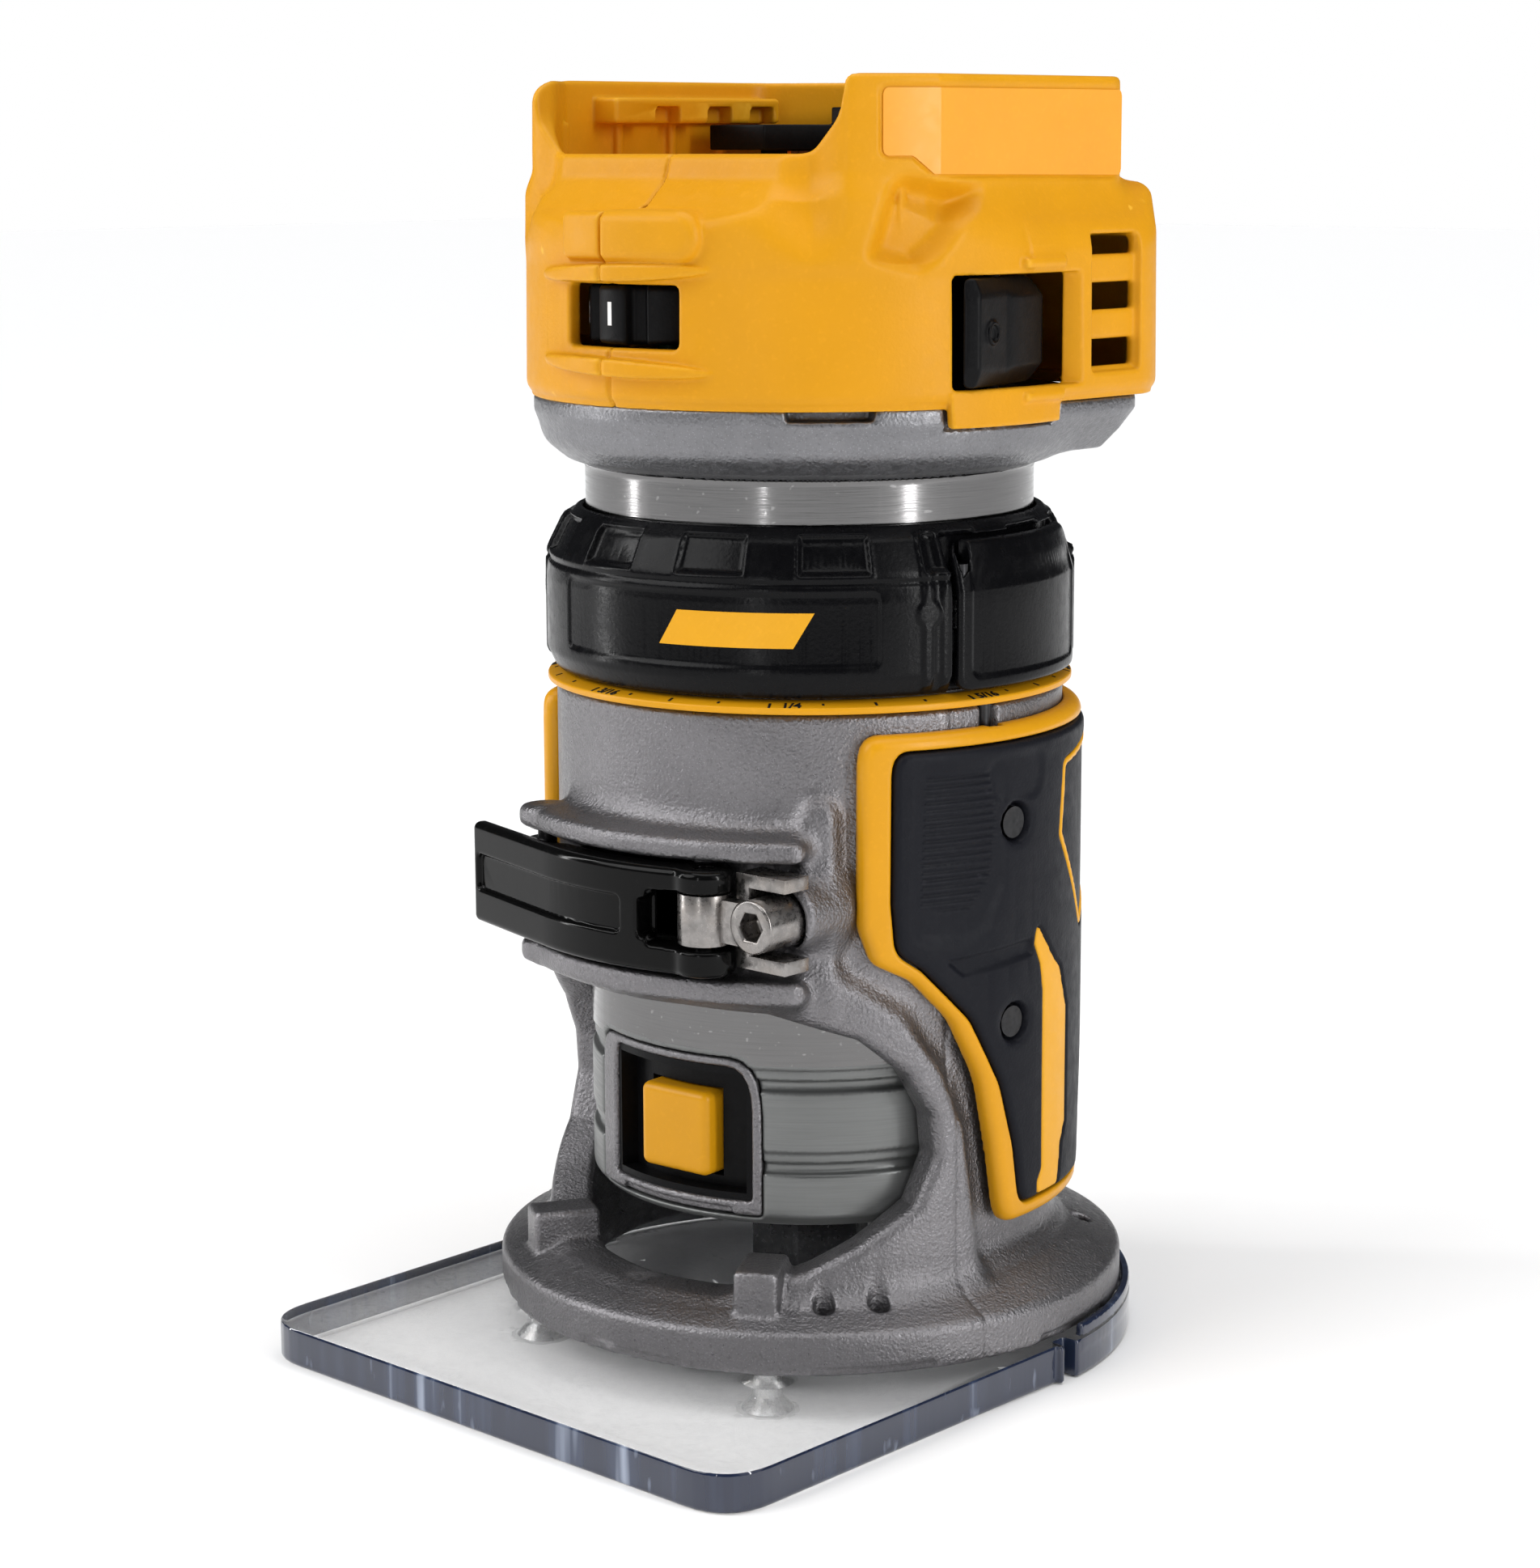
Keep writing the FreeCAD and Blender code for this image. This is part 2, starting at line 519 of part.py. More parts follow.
def depth_ring():
    ring = turned("RingSolid", [("neck_r + 0.3", "ring_low"), ("ring_r - 1.5", "ring_low"),
                                ("ring_r", "ring_low + 3.2"), ("ring_r - 0.4", "123.3"),
                                ("ring_r - 5.4", "ring_top - 0.7"), ("ring_r - 5.9", "ring_top"),
                                ("tube_r + 0.3", "ring_top"), ("tube_r + 0.3", "neck_top + 0.5"),
                                ("neck_r + 0.3", "neck_top + 0.5")])
    beds = [sector(f"TabBed{c}", "50", "tab_low_bed", "tab_step - ring_low + 1", "ring_low - 1",
                   c - 26.2, c + 26.2) for c in TAB_CENTRES]
    deep = [sector(f"TabDeep{c}", "50", "tab_bed", "tab_high + 0.5 - tab_step", "tab_step - 0.01",
                   c - 26.2, c + 26.2) for c in TAB_CENTRES]
    ears = [sector(f"TabEar{c}", "40.9", "tab_bed - 0.8", "3.8", "tab_step - 0.8", c - 26.1, c - 20.9)
            for c in TAB_CENTRES]
    pins = [cylinder(f"TabPinRoom{c}", "1", "20", *polar("tab_hinge_r", c - 23), "ring_low + 1")
            for c in TAB_CENTRES]
    bedded = cut("RingBedded", ring, *beds, *deep)
    return node(cut("DepthRing", fuse("RingWithEars", bedded, *ears), *pins), "depth_ring")


def release_tabs():
    for name, centre in zip(("release_tab_a", "release_tab_b"), TAB_CENTRES):
        start, stop = centre - 25.5, centre + 25.5
        low = sector(name + "Low", "tab_out", "tab_low_in", "tab_step - tab_low + 0.2", "tab_low",
                     start, stop)
        knuckle = sector(name + "Knuckle", "tab_out", "tab_in + 0.1", "tab_step - tab_low + 0.2", "tab_low",
                         start, start + 6.5)
        high = sector(name + "High", "tab_out", "tab_in", "tab_high - tab_step - 0.2", "tab_step + 0.2",
                      start, stop)
        slope = turned(name + "Slope", [("50", "123.3"), ("tab_out", "123.3"), ("tab_out - 3.1", "tab_high"),
                                        ("tab_out - 3.1", "tab_high + 2"), ("50", "tab_high + 2")])
        hole = cylinder(name + "Hole", "1 + fit_gap", "30", *polar("tab_hinge_r", centre - 23), "tab_low - 2")
        notch = sector(name + "Notch", "50", "30", "9.2", "tab_step - 1.2", centre - 26, centre - 20.4)
        node(cut(name + "Solid", fuse(name + "Skin", low, knuckle, high), slope, hole, notch), name)


def tab_pins_and_springs():
    pins = [cylinder(f"TabPin{c}", "1", "17", *polar("tab_hinge_r", c - 23), "109.4")
            for c in TAB_CENTRES]
    springs = [tube(f"TabSpring{c}", "1.7", "1.02", "4.2", "tab_step + 3.2", *polar("tab_hinge_r", c - 23))
               for c in TAB_CENTRES]
    node(group("TabPins", pins), "release_tab_pins")
    node(group("TabSprings", springs), "release_tab_springs")


def scale_ring():
    return node(turned("ScaleRing", [("neck_r + 0.3", "scale_low"), ("scale_r", "scale_low"),
                                     ("scale_r", "scale_low + 1.1"), ("scale_r - 2.8", "scale_low + 1.8"),
                                     ("neck_r + 0.3", "scale_low + 1.8")]), "scale_ring")


# ---- motor unit, metal parts -----------------------------------------------------------------

def motor_housing():
    body = turned("HousingTube", [("tube_in", "tube_low"), ("tube_r - 1.4", "tube_low"),
                                  ("tube_r", "tube_low + 1.6"), ("tube_r", "cone_low"),
                                  ("cone_out - 4.4", "cone_low + 1"), ("cone_out - 0.4", "cone_low + 3.6"),
                                  ("cone_out", "cone_low + 8"), ("cone_out", "cone_top"),
                                  ("36", "cone_top"), ("tube_in", "cone_low + 2")])
    rear = d_solid("HousingRear", "cone_out", "cone_out + 0.4", "shell_side_y - 3", "shell_back_x - 3",
                   "shell_back - 3", "cone_top - 3.4", "3.4")
    bore = cylinder("HousingMouth", "36", "5", z="cone_top - 4")
    grooves = [tube(f"HousingGroove{z}", "tube_r + 1", "tube_r - 0.35", height, z)
               for z, height in (("47.1", "2.4"), ("33.9", "3"))]
    window = sector("LockWindow", "tube_r + 1", "30", "25.2", "26.3", -27.4, 30)
    return node(cut("MotorHousing", fuse("HousingSolid", body, rear), bore, *grooves, window),
                "motor_housing")


def lower_end_plate():
    disc = turned("EndPlateSolid", [("11.5", "25.6"), ("tube_in", "25.6"), ("tube_in", "27"),
                                    ("20.6", "28"), ("20.6", "36.4"), ("17.5", "36.4"), ("17.5", "28"),
                                    ("11.5", "28")])
    seats = [cylinder(f"LightSeat{angle}", "3", "4", *polar("26.5", angle), "25")
             for angle in (-60, 60)]
    node(cut("LowerEndPlate", disc, *seats), "lower_end_plate")
    lights = [cylinder(f"WorkLight{angle}", "2.95", "2", *polar("26.5", angle), "25.5")
              for angle in (-60, 60)]
    node(group("WorkLights", lights), "work_lights")


def upper_end_plate():
    disc = turned("UpperPlateSolid", [("11", "123.6"), ("14", "123.6"), ("14", "131"), ("tube_in", "131"),
                                      ("tube_in", "134"), ("6", "134"), ("6", "130.8"), ("11", "130.8")])
    vents = [cylinder(f"UpperVent{i}", "5", "8", *polar("22.5", 60 * i), "130") for i in range(6)]
    return node(cut("UpperEndPlate", disc, *vents), "upper_end_plate")


def bearings():
    node(tube("LowerBearing", "17.5", "nose_r + fit_gap", "8", "28.2"), "lower_bearing")
    node(tube("UpperBearing", "11", "shaft_r + fit_gap", "7", "123.7"), "upper_bearing")


def stator():
    yoke = tube("StatorYoke", "tube_in", "27.6", "stator_high - stator_low", "stator_low")
    teeth = []
    for i in range(6):
        tooth = box(f"StatorTooth{i}", "7", "9.2", "stator_high - stator_low", "-3.5", "-28",
                    "stator_low", around=60 * i)
        shoe = sector(f"StatorShoe{i}", "20.6", "stator_in", "stator_high - stator_low", "stator_low",
                      60 * i - 26, 60 * i + 26)
        teeth += [tooth, shoe]
    node(fuse("Stator", yoke, *teeth), "stator")
    ends = [tube(f"Winding{z}", "27.4", "20.8", "5", z) for z in ("stator_low - 5.1", "stator_high + 0.1")]
    node(group("Windings", ends), "stator_windings")


def spindle():
    shaft = turned("SpindleSolid", [("0", "24"), ("4.9", "24"), ("6.3", "13.5"), ("8", "13.5"),
                                    ("8", "24"), ("nose_r", "24"), ("nose_r", "37.6"), ("12", "37.6"),
                                    ("12", "42"), ("6", "42"), ("6", "56"), ("shaft_r", "56"),
                                    ("shaft_r", "132.6"), ("0", "132.6")])
    notches = [cylinder(f"LockNotch{i}", "2.8", "4", "0", "-9.4", "button_z", TO_FRONT, 180 * i)
               for i in range(2)]
    node(cut("Spindle", shaft, *notches), "spindle_shaft")
    node(tube("Rotor", "stator_in - 0.6", "shaft_r", "stator_high - stator_low + 4", "stator_low - 2"),
         "rotor")


def cooling_fan():
    hub = tube("FanHub", "9", "shaft_r", "10", "109")
    disc = tube("FanDisc", "27", "8", "1.6", "109")
    blades = []
    for i in range(11):
        blades.append(box(f"FanBlade{i}", "1.4", "19", "9", "2", "-26.4", "109.5", about_z(-14),
                          360 * i / 11))
    return node(fuse("CoolingFan", hub, disc, *blades), "cooling_fan")


def collet():
    body = turned("ColletSolid", [("collet_r", "10.8"), ("5", "10.8"), ("6.25", "13.2"), ("6.25", "13.6"),
                                  ("5.05", "22.8"), ("collet_r", "22.8")])
    slits = [box(f"ColletSlit{i}", "14", "0.7", "9", "-7", "-0.35", "10", around=90 * i)
             for i in range(2)]
    node(cut("Collet", body, *slits), "collet")
    outer = plate("NutHexagon", "XY_Plane", hexagon("nut_flats / 2"), "nut_high - nut_low", z="nut_low")
    bevel = turned("NutBevel", [("0", "nut_low"), ("8", "nut_low"), ("12", "nut_low + 3"),
                                ("12", "nut_high - 1"), ("9", "nut_high"), ("0", "nut_high")])
    room = turned("NutRoom", [("0", "nut_low - 1"), ("4.4", "nut_low - 1"), ("4.4", "nut_low"),
                              ("5.3", "10.6"), ("6.7", "13.2"), ("8.05", "13.3"), ("8.05", "nut_high + 1"),
                              ("0", "nut_high + 1")])
    node(cut("ColletNut", common("NutSolid", outer, bevel), room), "collet_nut")


def spindle_lock():
    tilt = size("button_deg")

    def lock_box(name, half_x, front, back, half_z):
        return box(name, f"2 * {half_x}", f"{front} - {back}", f"2 * {half_z}", f"-{half_x}", f"-{front}",
                   f"button_z - {half_z}", around=tilt)

    def lock_rod(name, radius, front, back):
        return cylinder(name, radius, f"{front} - {back}", "0", f"-{back}", "button_z", TO_FRONT, tilt)

    frame = sector("LockFrameSolid", "tube_r - 0.05", "32.6", "24.6", "26.6", -27, 29.6)
    frame_room = sector("LockFrameRoom", "40", "30", "21", "28.9", -19, 27)
    node(cut("LockFrame", frame, frame_room), "spindle_lock_frame")
    liner = sector("LockLinerSolid", "34.2", "30", "20.8", "29", -18.9, 26.9)
    pocket = sector("LockLinerPocket", "40", "31.4", "18.6", "30.1", -17.5, 25.4)
    guide = lock_box("LockGuide", 7.9, 31.6, 21, 7.85)
    guide_room = lock_box("LockGuideRoom", 7, 40, 22.2, 6.95)
    rod_room = lock_rod("LockRodRoom", "2.2", 40, 15)
    node(cut("LockLiner", fuse("LockLinerBody", liner, guide), pocket, guide_room, rod_room),
         "spindle_lock_liner")
    cap = lock_box("LockCap", 6.6, 33.9, 27, 6.6)
    node(fuse("LockButton", cap, lock_rod("LockRod", "1.9", 28, 16)), "spindle_lock_button")
    node(cut("LockSpring", lock_rod("LockSpringOuter", "3.6", 26.9, 22.3),
             lock_rod("LockSpringInner", "2.2", 28, 22)), "spindle_lock_spring")


# ---- motor unit, top housing -------------------------------------------------------------------

def d_solid(name, front_r, side, side_y, back_x, back, z, height):
    """A round front joined to a chamfered rear, seen from above."""
    outline = [(f"-({side})", "-4"), (side, "-4"), (side, side_y), (back_x, back),
               (f"-({back_x})", back), (f"-({side})", side_y)]
    rear = plate(name + "Rear", "XY_Plane", outline, height, z=z)
    front = common(name + "Front", cylinder(name + "Round", front_r, height, z=z),
                   box(name + "Width", f"2 * ({side})", "60", height, f"-({side})", "-60", z))
    return fuse(name, front, rear)


def screw_bosses(name, radius, length, x):
    """Cylinders along X at each place where the two shells are screwed together."""
    return [cylinder(f"{name}{i}", radius, length, x, y, z, TO_RIGHT)
            for i, (y, z) in enumerate((("36", "157"), ("36", "166"), ("-20", "154")))]


def top_shells():
    low = d_solid("ShellLow", "shell_r", "shell_side", "shell_side_y", "shell_back_x", "shell_back",
                  "cone_top", "shell_mid - cone_top")
    high = d_solid("ShellHigh", "shell_r - 1.2", "bay_side", "bay_side_y", "bay_back_x", "bay_back",
                   "shell_mid - 1", "bay_top - shell_mid + 1")
    room = d_solid("ShellRoom", "shell_r - shell_wall", "shell_side - shell_wall", "shell_side_y - 1",
                   "shell_back_x - 1", "shell_back - shell_wall", "cone_top - 1",
                   "bay_floor - shell_wall - cone_top + 1")
    bay = d_solid("BayRoom", "bay_side - 5", "bay_side - 5", "bay_side_y - 1", "bay_back_x - 3",
                  "bay_back - 3.5", "bay_floor", "40")
    bay_front = common("BayFrontRoom", cylinder("BayFrontRound", "shell_r - 4.6", "40", z="bay_floor"),
                       box("BayFrontBox", "2 * (bay_side - 5)", "sill_y - 2.8", "40", "5 - bay_side",
                           "2.8 - sill_y", "bay_floor"))
    scoop = plate("FrontScoop", "YZ_Plane", [("-60", "bay_floor - 0.8"), ("-43", "bay_floor - 0.8"),
                                             ("-36", "bay_floor + 2.4"), ("-sill_y - 1.4", "shell_mid + 1"),
                                             ("-sill_y", "bay_sill"), ("-sill_y", "bay_top + 1"),
                                             ("-60", "bay_top + 1")],
                  "2 * (sill_y + 1)", "-sill_y - 1")
    bay_mouth = box("BayMouth", "2 * (bay_side - 5)", "60", "40", "5 - bay_side", "-60", "bay_sill")
    rails = [box(f"Rail{side}", "bay_side - rail_x - 4", "bay_side_y + 11", "rail_high - rail_low",
                 x, "-12", "rail_low") for side, x in ((-1, "4 - bay_side"), (1, "rail_x"))]
    dial_window = box("DialWindow", "21.6", "14", "9.4", "-9.4", "-50", "158")
    switch_window = box("SwitchWindow", "12", "27.5", "switch_high - switch_low", "36", "-15.5", "switch_low")
    vents = [box(f"Vent{z}", "12", "11", height, "36", "15", z)
             for z, height in (("170.8", "3"), ("162.6", "4"), ("154.2", "4"))]
    vents += [box(f"LeftVent{z}", "12", "11", height, "-48", "15", z)
              for z, height in (("170.8", "3"), ("162.6", "4"), ("154.2", "4"))]
    hollow = cut("ShellHollow", fuse("ShellSolid", low, high), room, bay, bay_front, bay_mouth, scoop,
                 dial_window, switch_window, *vents)
    bosses = common("Bosses", fuse("BossRods", *screw_bosses("Boss", "4", "88", "-44")), low)
    whole = fuse("ShellWithRails", hollow, *rails, bosses)
    drilled = cut("ShellDrilled", whole, *screw_bosses("HeadBore", "3.3", "10", "-46"),
                  *screw_bosses("ShankBore", "1.5", "47", "-36.5"))
    left = box("LeftHalf", "60", "120", "60", "-60", "-60", "cone_top - 5")
    right = box("RightHalf", "60", "120", "60", "0", "-60", "cone_top - 5")
    node(common("LeftShell", drilled, left), "left_housing_shell")
    node(common("RightShell", drilled, right), "right_housing_shell")
    heads = screw_bosses("HousingScrewHead", "3", "2.4", "-38.4")
    shanks = screw_bosses("HousingScrewShank", "1.5", "40", "-36.2")
    node(group("HousingScrews", [fuse(f"HousingScrew{i}", head, shank)
                                 for i, (head, shank) in enumerate(zip(heads, shanks))]), "housing_screws")


def battery_contacts():
    block = box("TerminalBody", "43", "9", "17", "-21.5", "bay_back - 12.6", "bay_floor")
    arm = box("TerminalArm", "12", "20", "4", "-30.5", "bay_back - 32", "rail_low - 4.2")
    step = box("TerminalStep", "12", "8", "8.6", "-30.5", "bay_back - 20", "rail_low - 8.8")
    node(fuse("TerminalBlock", block, arm, step), "terminal_block")
    blades = [box(f"Blade{i}", "0.8", "14", "7", f"{9 * i - 18.4}", "bay_back - 26.6", "bay_floor + 3")
              for i in range(5)]
    node(group("TerminalBlades", blades), "terminal_blades")


def electronics():
    board = d_solid("ControlBoard", "34", "34", "24", "24", "33", "bay_floor - shell_wall - 2.4", "1.6")
    node(board, "control_board")
    sensor = box("SensorBody", "13", "13", "6.4", "dial_x - 6.5", "-dial_y - 6.5", "151")
    stem = cylinder("SensorStem", "2", "9", "dial_x", "-dial_y", "157")
    node(fuse("SpeedSensor", sensor, stem), "speed_sensor")
    wheel = cylinder("DialWheel", "dial_r", "dial_high - dial_low", "dial_x", "-dial_y", "dial_low")
    hole = cylinder("DialBore", "2 + fit_gap", "20", "dial_x", "-dial_y", "150")
    node(cut("SpeedDial", wheel, hole), "speed_dial")


def power_switch():
    body = box("SwitchCase", "9.6", "22", "14.6", "26", "-15", "switch_low + 1")
    arms = [box(f"SwitchArm{i}", "11.3", "3.4", "1.1", "rocker_x - 10.7", "rocker_y - 1.7", z)
            for i, z in enumerate(("switch_low - 1.1", "switch_high"))]
    posts = [box(f"SwitchPost{i}", "6", "3.4", height, "rocker_x - 10.7", "rocker_y - 1.7", z)
             for i, (z, height) in enumerate((("switch_low - 1.1", "2.4"), ("switch_high - 1.4", "2.5")))]
    pin = cylinder("RockerPin", "1.2", "switch_high - switch_low + 1", "rocker_x", "rocker_y",
                   "switch_low - 0.5")
    node(fuse("PowerSwitch", body, pin, *arms, *posts), "power_switch")
    outline = [("4.9", "-9.8"), ("2.9", "0"), ("2.7", "11"), ("1.1", "10.9"), ("-2.6", "2.4"),
               ("-2.6", "-2.4"), ("2.8", "-9.8")]
    rocker = plate("RockerSolid", "XY_Plane", outline, "switch_high - switch_low - 0.6",
                   "rocker_x", "rocker_y", "switch_low + 0.3")
    hole = cylinder("RockerBore", "1.2 + fit_gap", "30", "rocker_x", "rocker_y", "145")
    node(cut("Rocker", rocker, hole), "power_rocker")


def blank_label():
    outline = [("-22", "195.4"), ("-22", "186.5"), ("-19", "183.6"), ("25.5", "183.6"), ("25.5", "195.4")]
    return node(plate("BlankLabel", "YZ_Plane", outline, "0.25", "bay_side"), "blank_label")


# ---- the whole router -----------------------------------------------------------------------------

def build():
    for make in (sub_base_plate, sub_base_screws, base_casting, guide_pins, right_grip, clamp_lever,
                 clamp_yoke, clamp_pins, clamp_shoe, tension_screw, depth_ring, release_tabs,
                 tab_pins_and_springs, scale_ring, motor_housing, lower_end_plate, upper_end_plate,
                 bearings, stator, spindle, cooling_fan, collet, spindle_lock, top_shells,
                 battery_contacts, electronics, power_switch, blank_label):
        make()
    doc.recompute()


def check():
    """Stop if any object failed or any sub-part isn't a valid shape."""
    failed = [obj.Label for obj in doc.Objects if {"Invalid", "Error"} & set(obj.State)]
    broken = [obj.Label for obj in NODES if obj.Shape.isNull() or not obj.Shape.isValid()]
    if failed or broken:
        raise RuntimeError(f"failed: {failed}, broken: {broken}")


def write():
    os.makedirs("parts", exist_ok=True)
    for obj in NODES:
        obj.Shape.exportStep(f"parts/{obj.Label}.step")
    print(len(NODES), "sub-parts written")


build()
check()
write()
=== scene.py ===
import json
import math

import bmesh
import bpy
import numpy as np
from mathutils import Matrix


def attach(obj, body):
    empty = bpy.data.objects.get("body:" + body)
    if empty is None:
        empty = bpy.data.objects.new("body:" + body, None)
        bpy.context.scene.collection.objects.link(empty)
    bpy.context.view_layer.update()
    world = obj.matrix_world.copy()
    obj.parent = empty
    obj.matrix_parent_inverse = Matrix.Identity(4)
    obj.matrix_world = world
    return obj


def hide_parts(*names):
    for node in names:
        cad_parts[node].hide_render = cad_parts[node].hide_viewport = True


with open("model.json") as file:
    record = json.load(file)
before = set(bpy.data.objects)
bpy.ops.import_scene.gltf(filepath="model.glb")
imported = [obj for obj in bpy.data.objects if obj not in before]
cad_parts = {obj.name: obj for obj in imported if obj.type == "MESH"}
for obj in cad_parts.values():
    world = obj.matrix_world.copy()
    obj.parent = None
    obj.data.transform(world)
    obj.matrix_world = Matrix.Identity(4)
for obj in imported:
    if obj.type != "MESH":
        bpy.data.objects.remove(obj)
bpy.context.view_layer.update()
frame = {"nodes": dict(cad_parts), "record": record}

import openvdb as vdb
from mathutils import Matrix, Vector

MM = 0.001
COARSE = 1.0


# ---- distance fields, in millimetres --------------------------------------------------------------
# Angles run from the front (-Y) towards the right (+X), as on the depth scale.

class Space:
    """Sample points over a box, with their radius and angle about the spindle."""

    def __init__(self, low, high, step):
        self.step = step * COARSE
        self.low = np.array(low, float)
        axes = [np.arange(a, b + self.step, self.step, dtype=np.float32) for a, b in zip(low, high)]
        self.x, self.y, self.z = np.meshgrid(*axes, indexing="ij", sparse=True)
        self.r = np.hypot(self.x, self.y)
        self.a = np.degrees(np.arctan2(self.x, -self.y))
        self.side = np.abs(self.a)

    def turned(self, degrees):
        """Coordinates to the right of, and out along, a line from the spindle at an angle."""
        sine, cosine = math.sin(math.radians(degrees)), math.cos(math.radians(degrees))
        return self.x * cosine + self.y * sine, self.x * sine - self.y * cosine


def around(radius, angle):
    """X and Y of a point at a radius and an angle about the spindle."""
    return radius * math.sin(math.radians(angle)), -radius * math.cos(math.radians(angle))


def meet(a, b, soft=0.0):
    """What is inside both shapes, with the edge between them rounded."""
    if not soft:
        return np.maximum(a, b)
    out = np.hypot(np.maximum(a + soft, 0), np.maximum(b + soft, 0))
    return np.minimum(np.maximum(a + soft, b + soft), 0) + out - soft


def join(a, b, soft=0.0):
    """Both shapes together, with a fillet between them."""
    return -meet(-a, -b, soft)


def cut(a, b, soft=0.0):
    return meet(a, -b, soft)


def slab(value, low, high):
    return np.maximum(low - value, value - high)


def block(u, v, w, low, high, soft=0.0):
    """A box in any three coordinates."""
    walls = [slab(value, a, b) for value, a, b in zip((u, v, w), low, high)]
    return meet(meet(walls[0], walls[1], soft), walls[2], soft)


def column(p, radius, low, high, x=0.0, y=0.0, soft=0.0):
    return meet(np.hypot(p.x - x, p.y - y) - radius, slab(p.z, low, high), soft)


def wedge(p, middle, half):
    """Distance to a sector between two radial planes."""
    off = np.abs((p.a - middle + 180) % 360 - 180)
    return np.radians(off - half) * p.r


def outline(u, v, points):
    """Signed distance to a closed outline."""
    best = np.full(np.broadcast(u, v).shape, 1e9, np.float32)
    inside = np.zeros(best.shape, bool)
    for (x0, y0), (x1, y1) in zip(points, points[1:] + points[:1]):
        ex, ey = x1 - x0, y1 - y0
        wx, wy = u - x0, v - y0
        t = np.clip((wx * ex + wy * ey) / (ex * ex + ey * ey + 1e-12), 0, 1)
        best = np.minimum(best, (wx - ex * t) ** 2 + (wy - ey * t) ** 2)
        if abs(ey) > 1e-9:
            inside ^= ((v >= y0) != (v >= y1)) & (wy * ex / ey > wx)
    return np.where(inside, -np.sqrt(best), np.sqrt(best))


def rounded(points, radii, steps=5):
    """An outline with its corners turned into arcs. radii is one number or one per corner."""
    result = []
    count = len(points)
    radii = radii if isinstance(radii, (list, tuple)) else [radii] * count
    for i, (point, radius) in enumerate(zip(points, radii)):
        here = np.array(point, float)
        before = np.array(points[i - 1], float) - here
        after = np.array(points[(i + 1) % count], float) - here
        lengths = np.linalg.norm(before), np.linalg.norm(after)
        before, after = before / lengths[0], after / lengths[1]
        half = math.acos(max(-1.0, min(1.0, float(before @ after)))) / 2
        reach = radius / math.tan(half) if radius else 0.0
        reach = min(reach, 0.49 * min(lengths))
        if reach < 0.02 or half > 1.55:
            result.append(tuple(here))
            continue
        start, stop = here + before * reach, here + after * reach
        for k in range(steps + 1):
            t = k / steps
            result.append(tuple((1 - t) ** 2 * start + 2 * t * (1 - t) * here + t * t * stop))
    return result


def looked_up(p, across, height_of, fine=0.2, blur=0):
    """Works height_of(across, z) out over a fine table, blurs it, and looks each sample up in it."""
    start = float(across.min())
    steps = np.arange(start, float(across.max()) + 2 * fine, fine, dtype=np.float32)
    values = height_of(steps[:, None], p.z.reshape(1, -1)).astype(np.float32)
    for _ in range(blur):
        for axis, width in ((0, 2), (1, 1)):
            padded = np.pad(values, [(width, width) if axis == side else (0, 0) for side in (0, 1)], "edge")
            shifts = [np.take(padded, range(k, k + values.shape[axis]), axis) for k in range(2 * width + 1)]
            values = np.mean(shifts, axis=0)
    place = (across[..., 0] - start) / fine
    low = place.astype(int)
    part = (place - low)[..., None].astype(np.float32)
    return values[low] * (1 - part) + values[low + 1] * part


def spun(p, points):
    """A profile of (radius, z) points turned about the spindle."""
    return looked_up(p, p.r, lambda r, z: outline(r, z, points))


def wrapped(p, radius, middle, points, side=False):
    """An outline of (angle, z) points wrapped round the spindle at a radius."""
    scale = math.radians(1) * radius
    flat = [((a - middle) * scale, z) for a, z in points]
    across = ((p.side if side else p.a) - middle) * scale
    return looked_up(p, across, lambda s, z: outline(s, z, flat))


def inside(d, soft=0.5):
    """1 inside an outline, 0 outside, with an eased edge."""
    t = np.clip(0.5 - d / soft, 0, 1)
    return t * t * (3 - 2 * t)


def sampled(d, p, places):
    """Values of a field between its samples."""
    q = (places - p.low) / p.step
    q = np.clip(q, 0, np.array(d.shape) - 1.001)
    i = q.astype(int)
    f = q - i
    value = 0
    for dx in (0, 1):
        for dy in (0, 1):
            for dz in (0, 1):
                weight = (np.abs(1 - dx - f[:, 0]) * np.abs(1 - dy - f[:, 1]) * np.abs(1 - dz - f[:, 2]))
                value = value + weight * d[i[:, 0] + dx, i[:, 1] + dy, i[:, 2] + dz]
    return value


def linked(name, mesh):
    """A new object in the scene."""
    obj = bpy.data.objects.new(name, mesh)
    bpy.context.scene.collection.objects.link(obj)
    return obj


def faced_outward(mesh):
    """Turns every face of a closed mesh outwards."""
    form = bmesh.new()
    form.from_mesh(mesh)
    bmesh.ops.recalc_face_normals(form, faces=form.faces)
    form.to_mesh(mesh)
    form.free()


def baked(obj):
    """The object's mesh with its modifiers applied, which the object then keeps."""
    mesh = bpy.data.meshes.new_from_object(obj.evaluated_get(bpy.context.evaluated_depsgraph_get()))
    obj.modifiers.clear()
    obj.data = mesh
    return mesh


def trimmed(mesh, x, keep_side):
    """Cuts a mesh off at a plane across X, in millimetres, and closes it there."""
    form = bmesh.new()
    form.from_mesh(mesh)
    result = bmesh.ops.bisect_plane(form, geom=form.verts[:] + form.edges[:] + form.faces[:], dist=1e-7,
                                    plane_co=(x * MM, 0, 0), plane_no=(-keep_side, 0, 0), clear_outer=True)
    edges = [item for item in result["geom_cut"] if isinstance(item, bmesh.types.BMEdge)]
    bmesh.ops.triangle_fill(form, use_beauty=True, edges=edges, normal=(-keep_side, 0, 0))
    form.to_mesh(mesh)
    form.free()


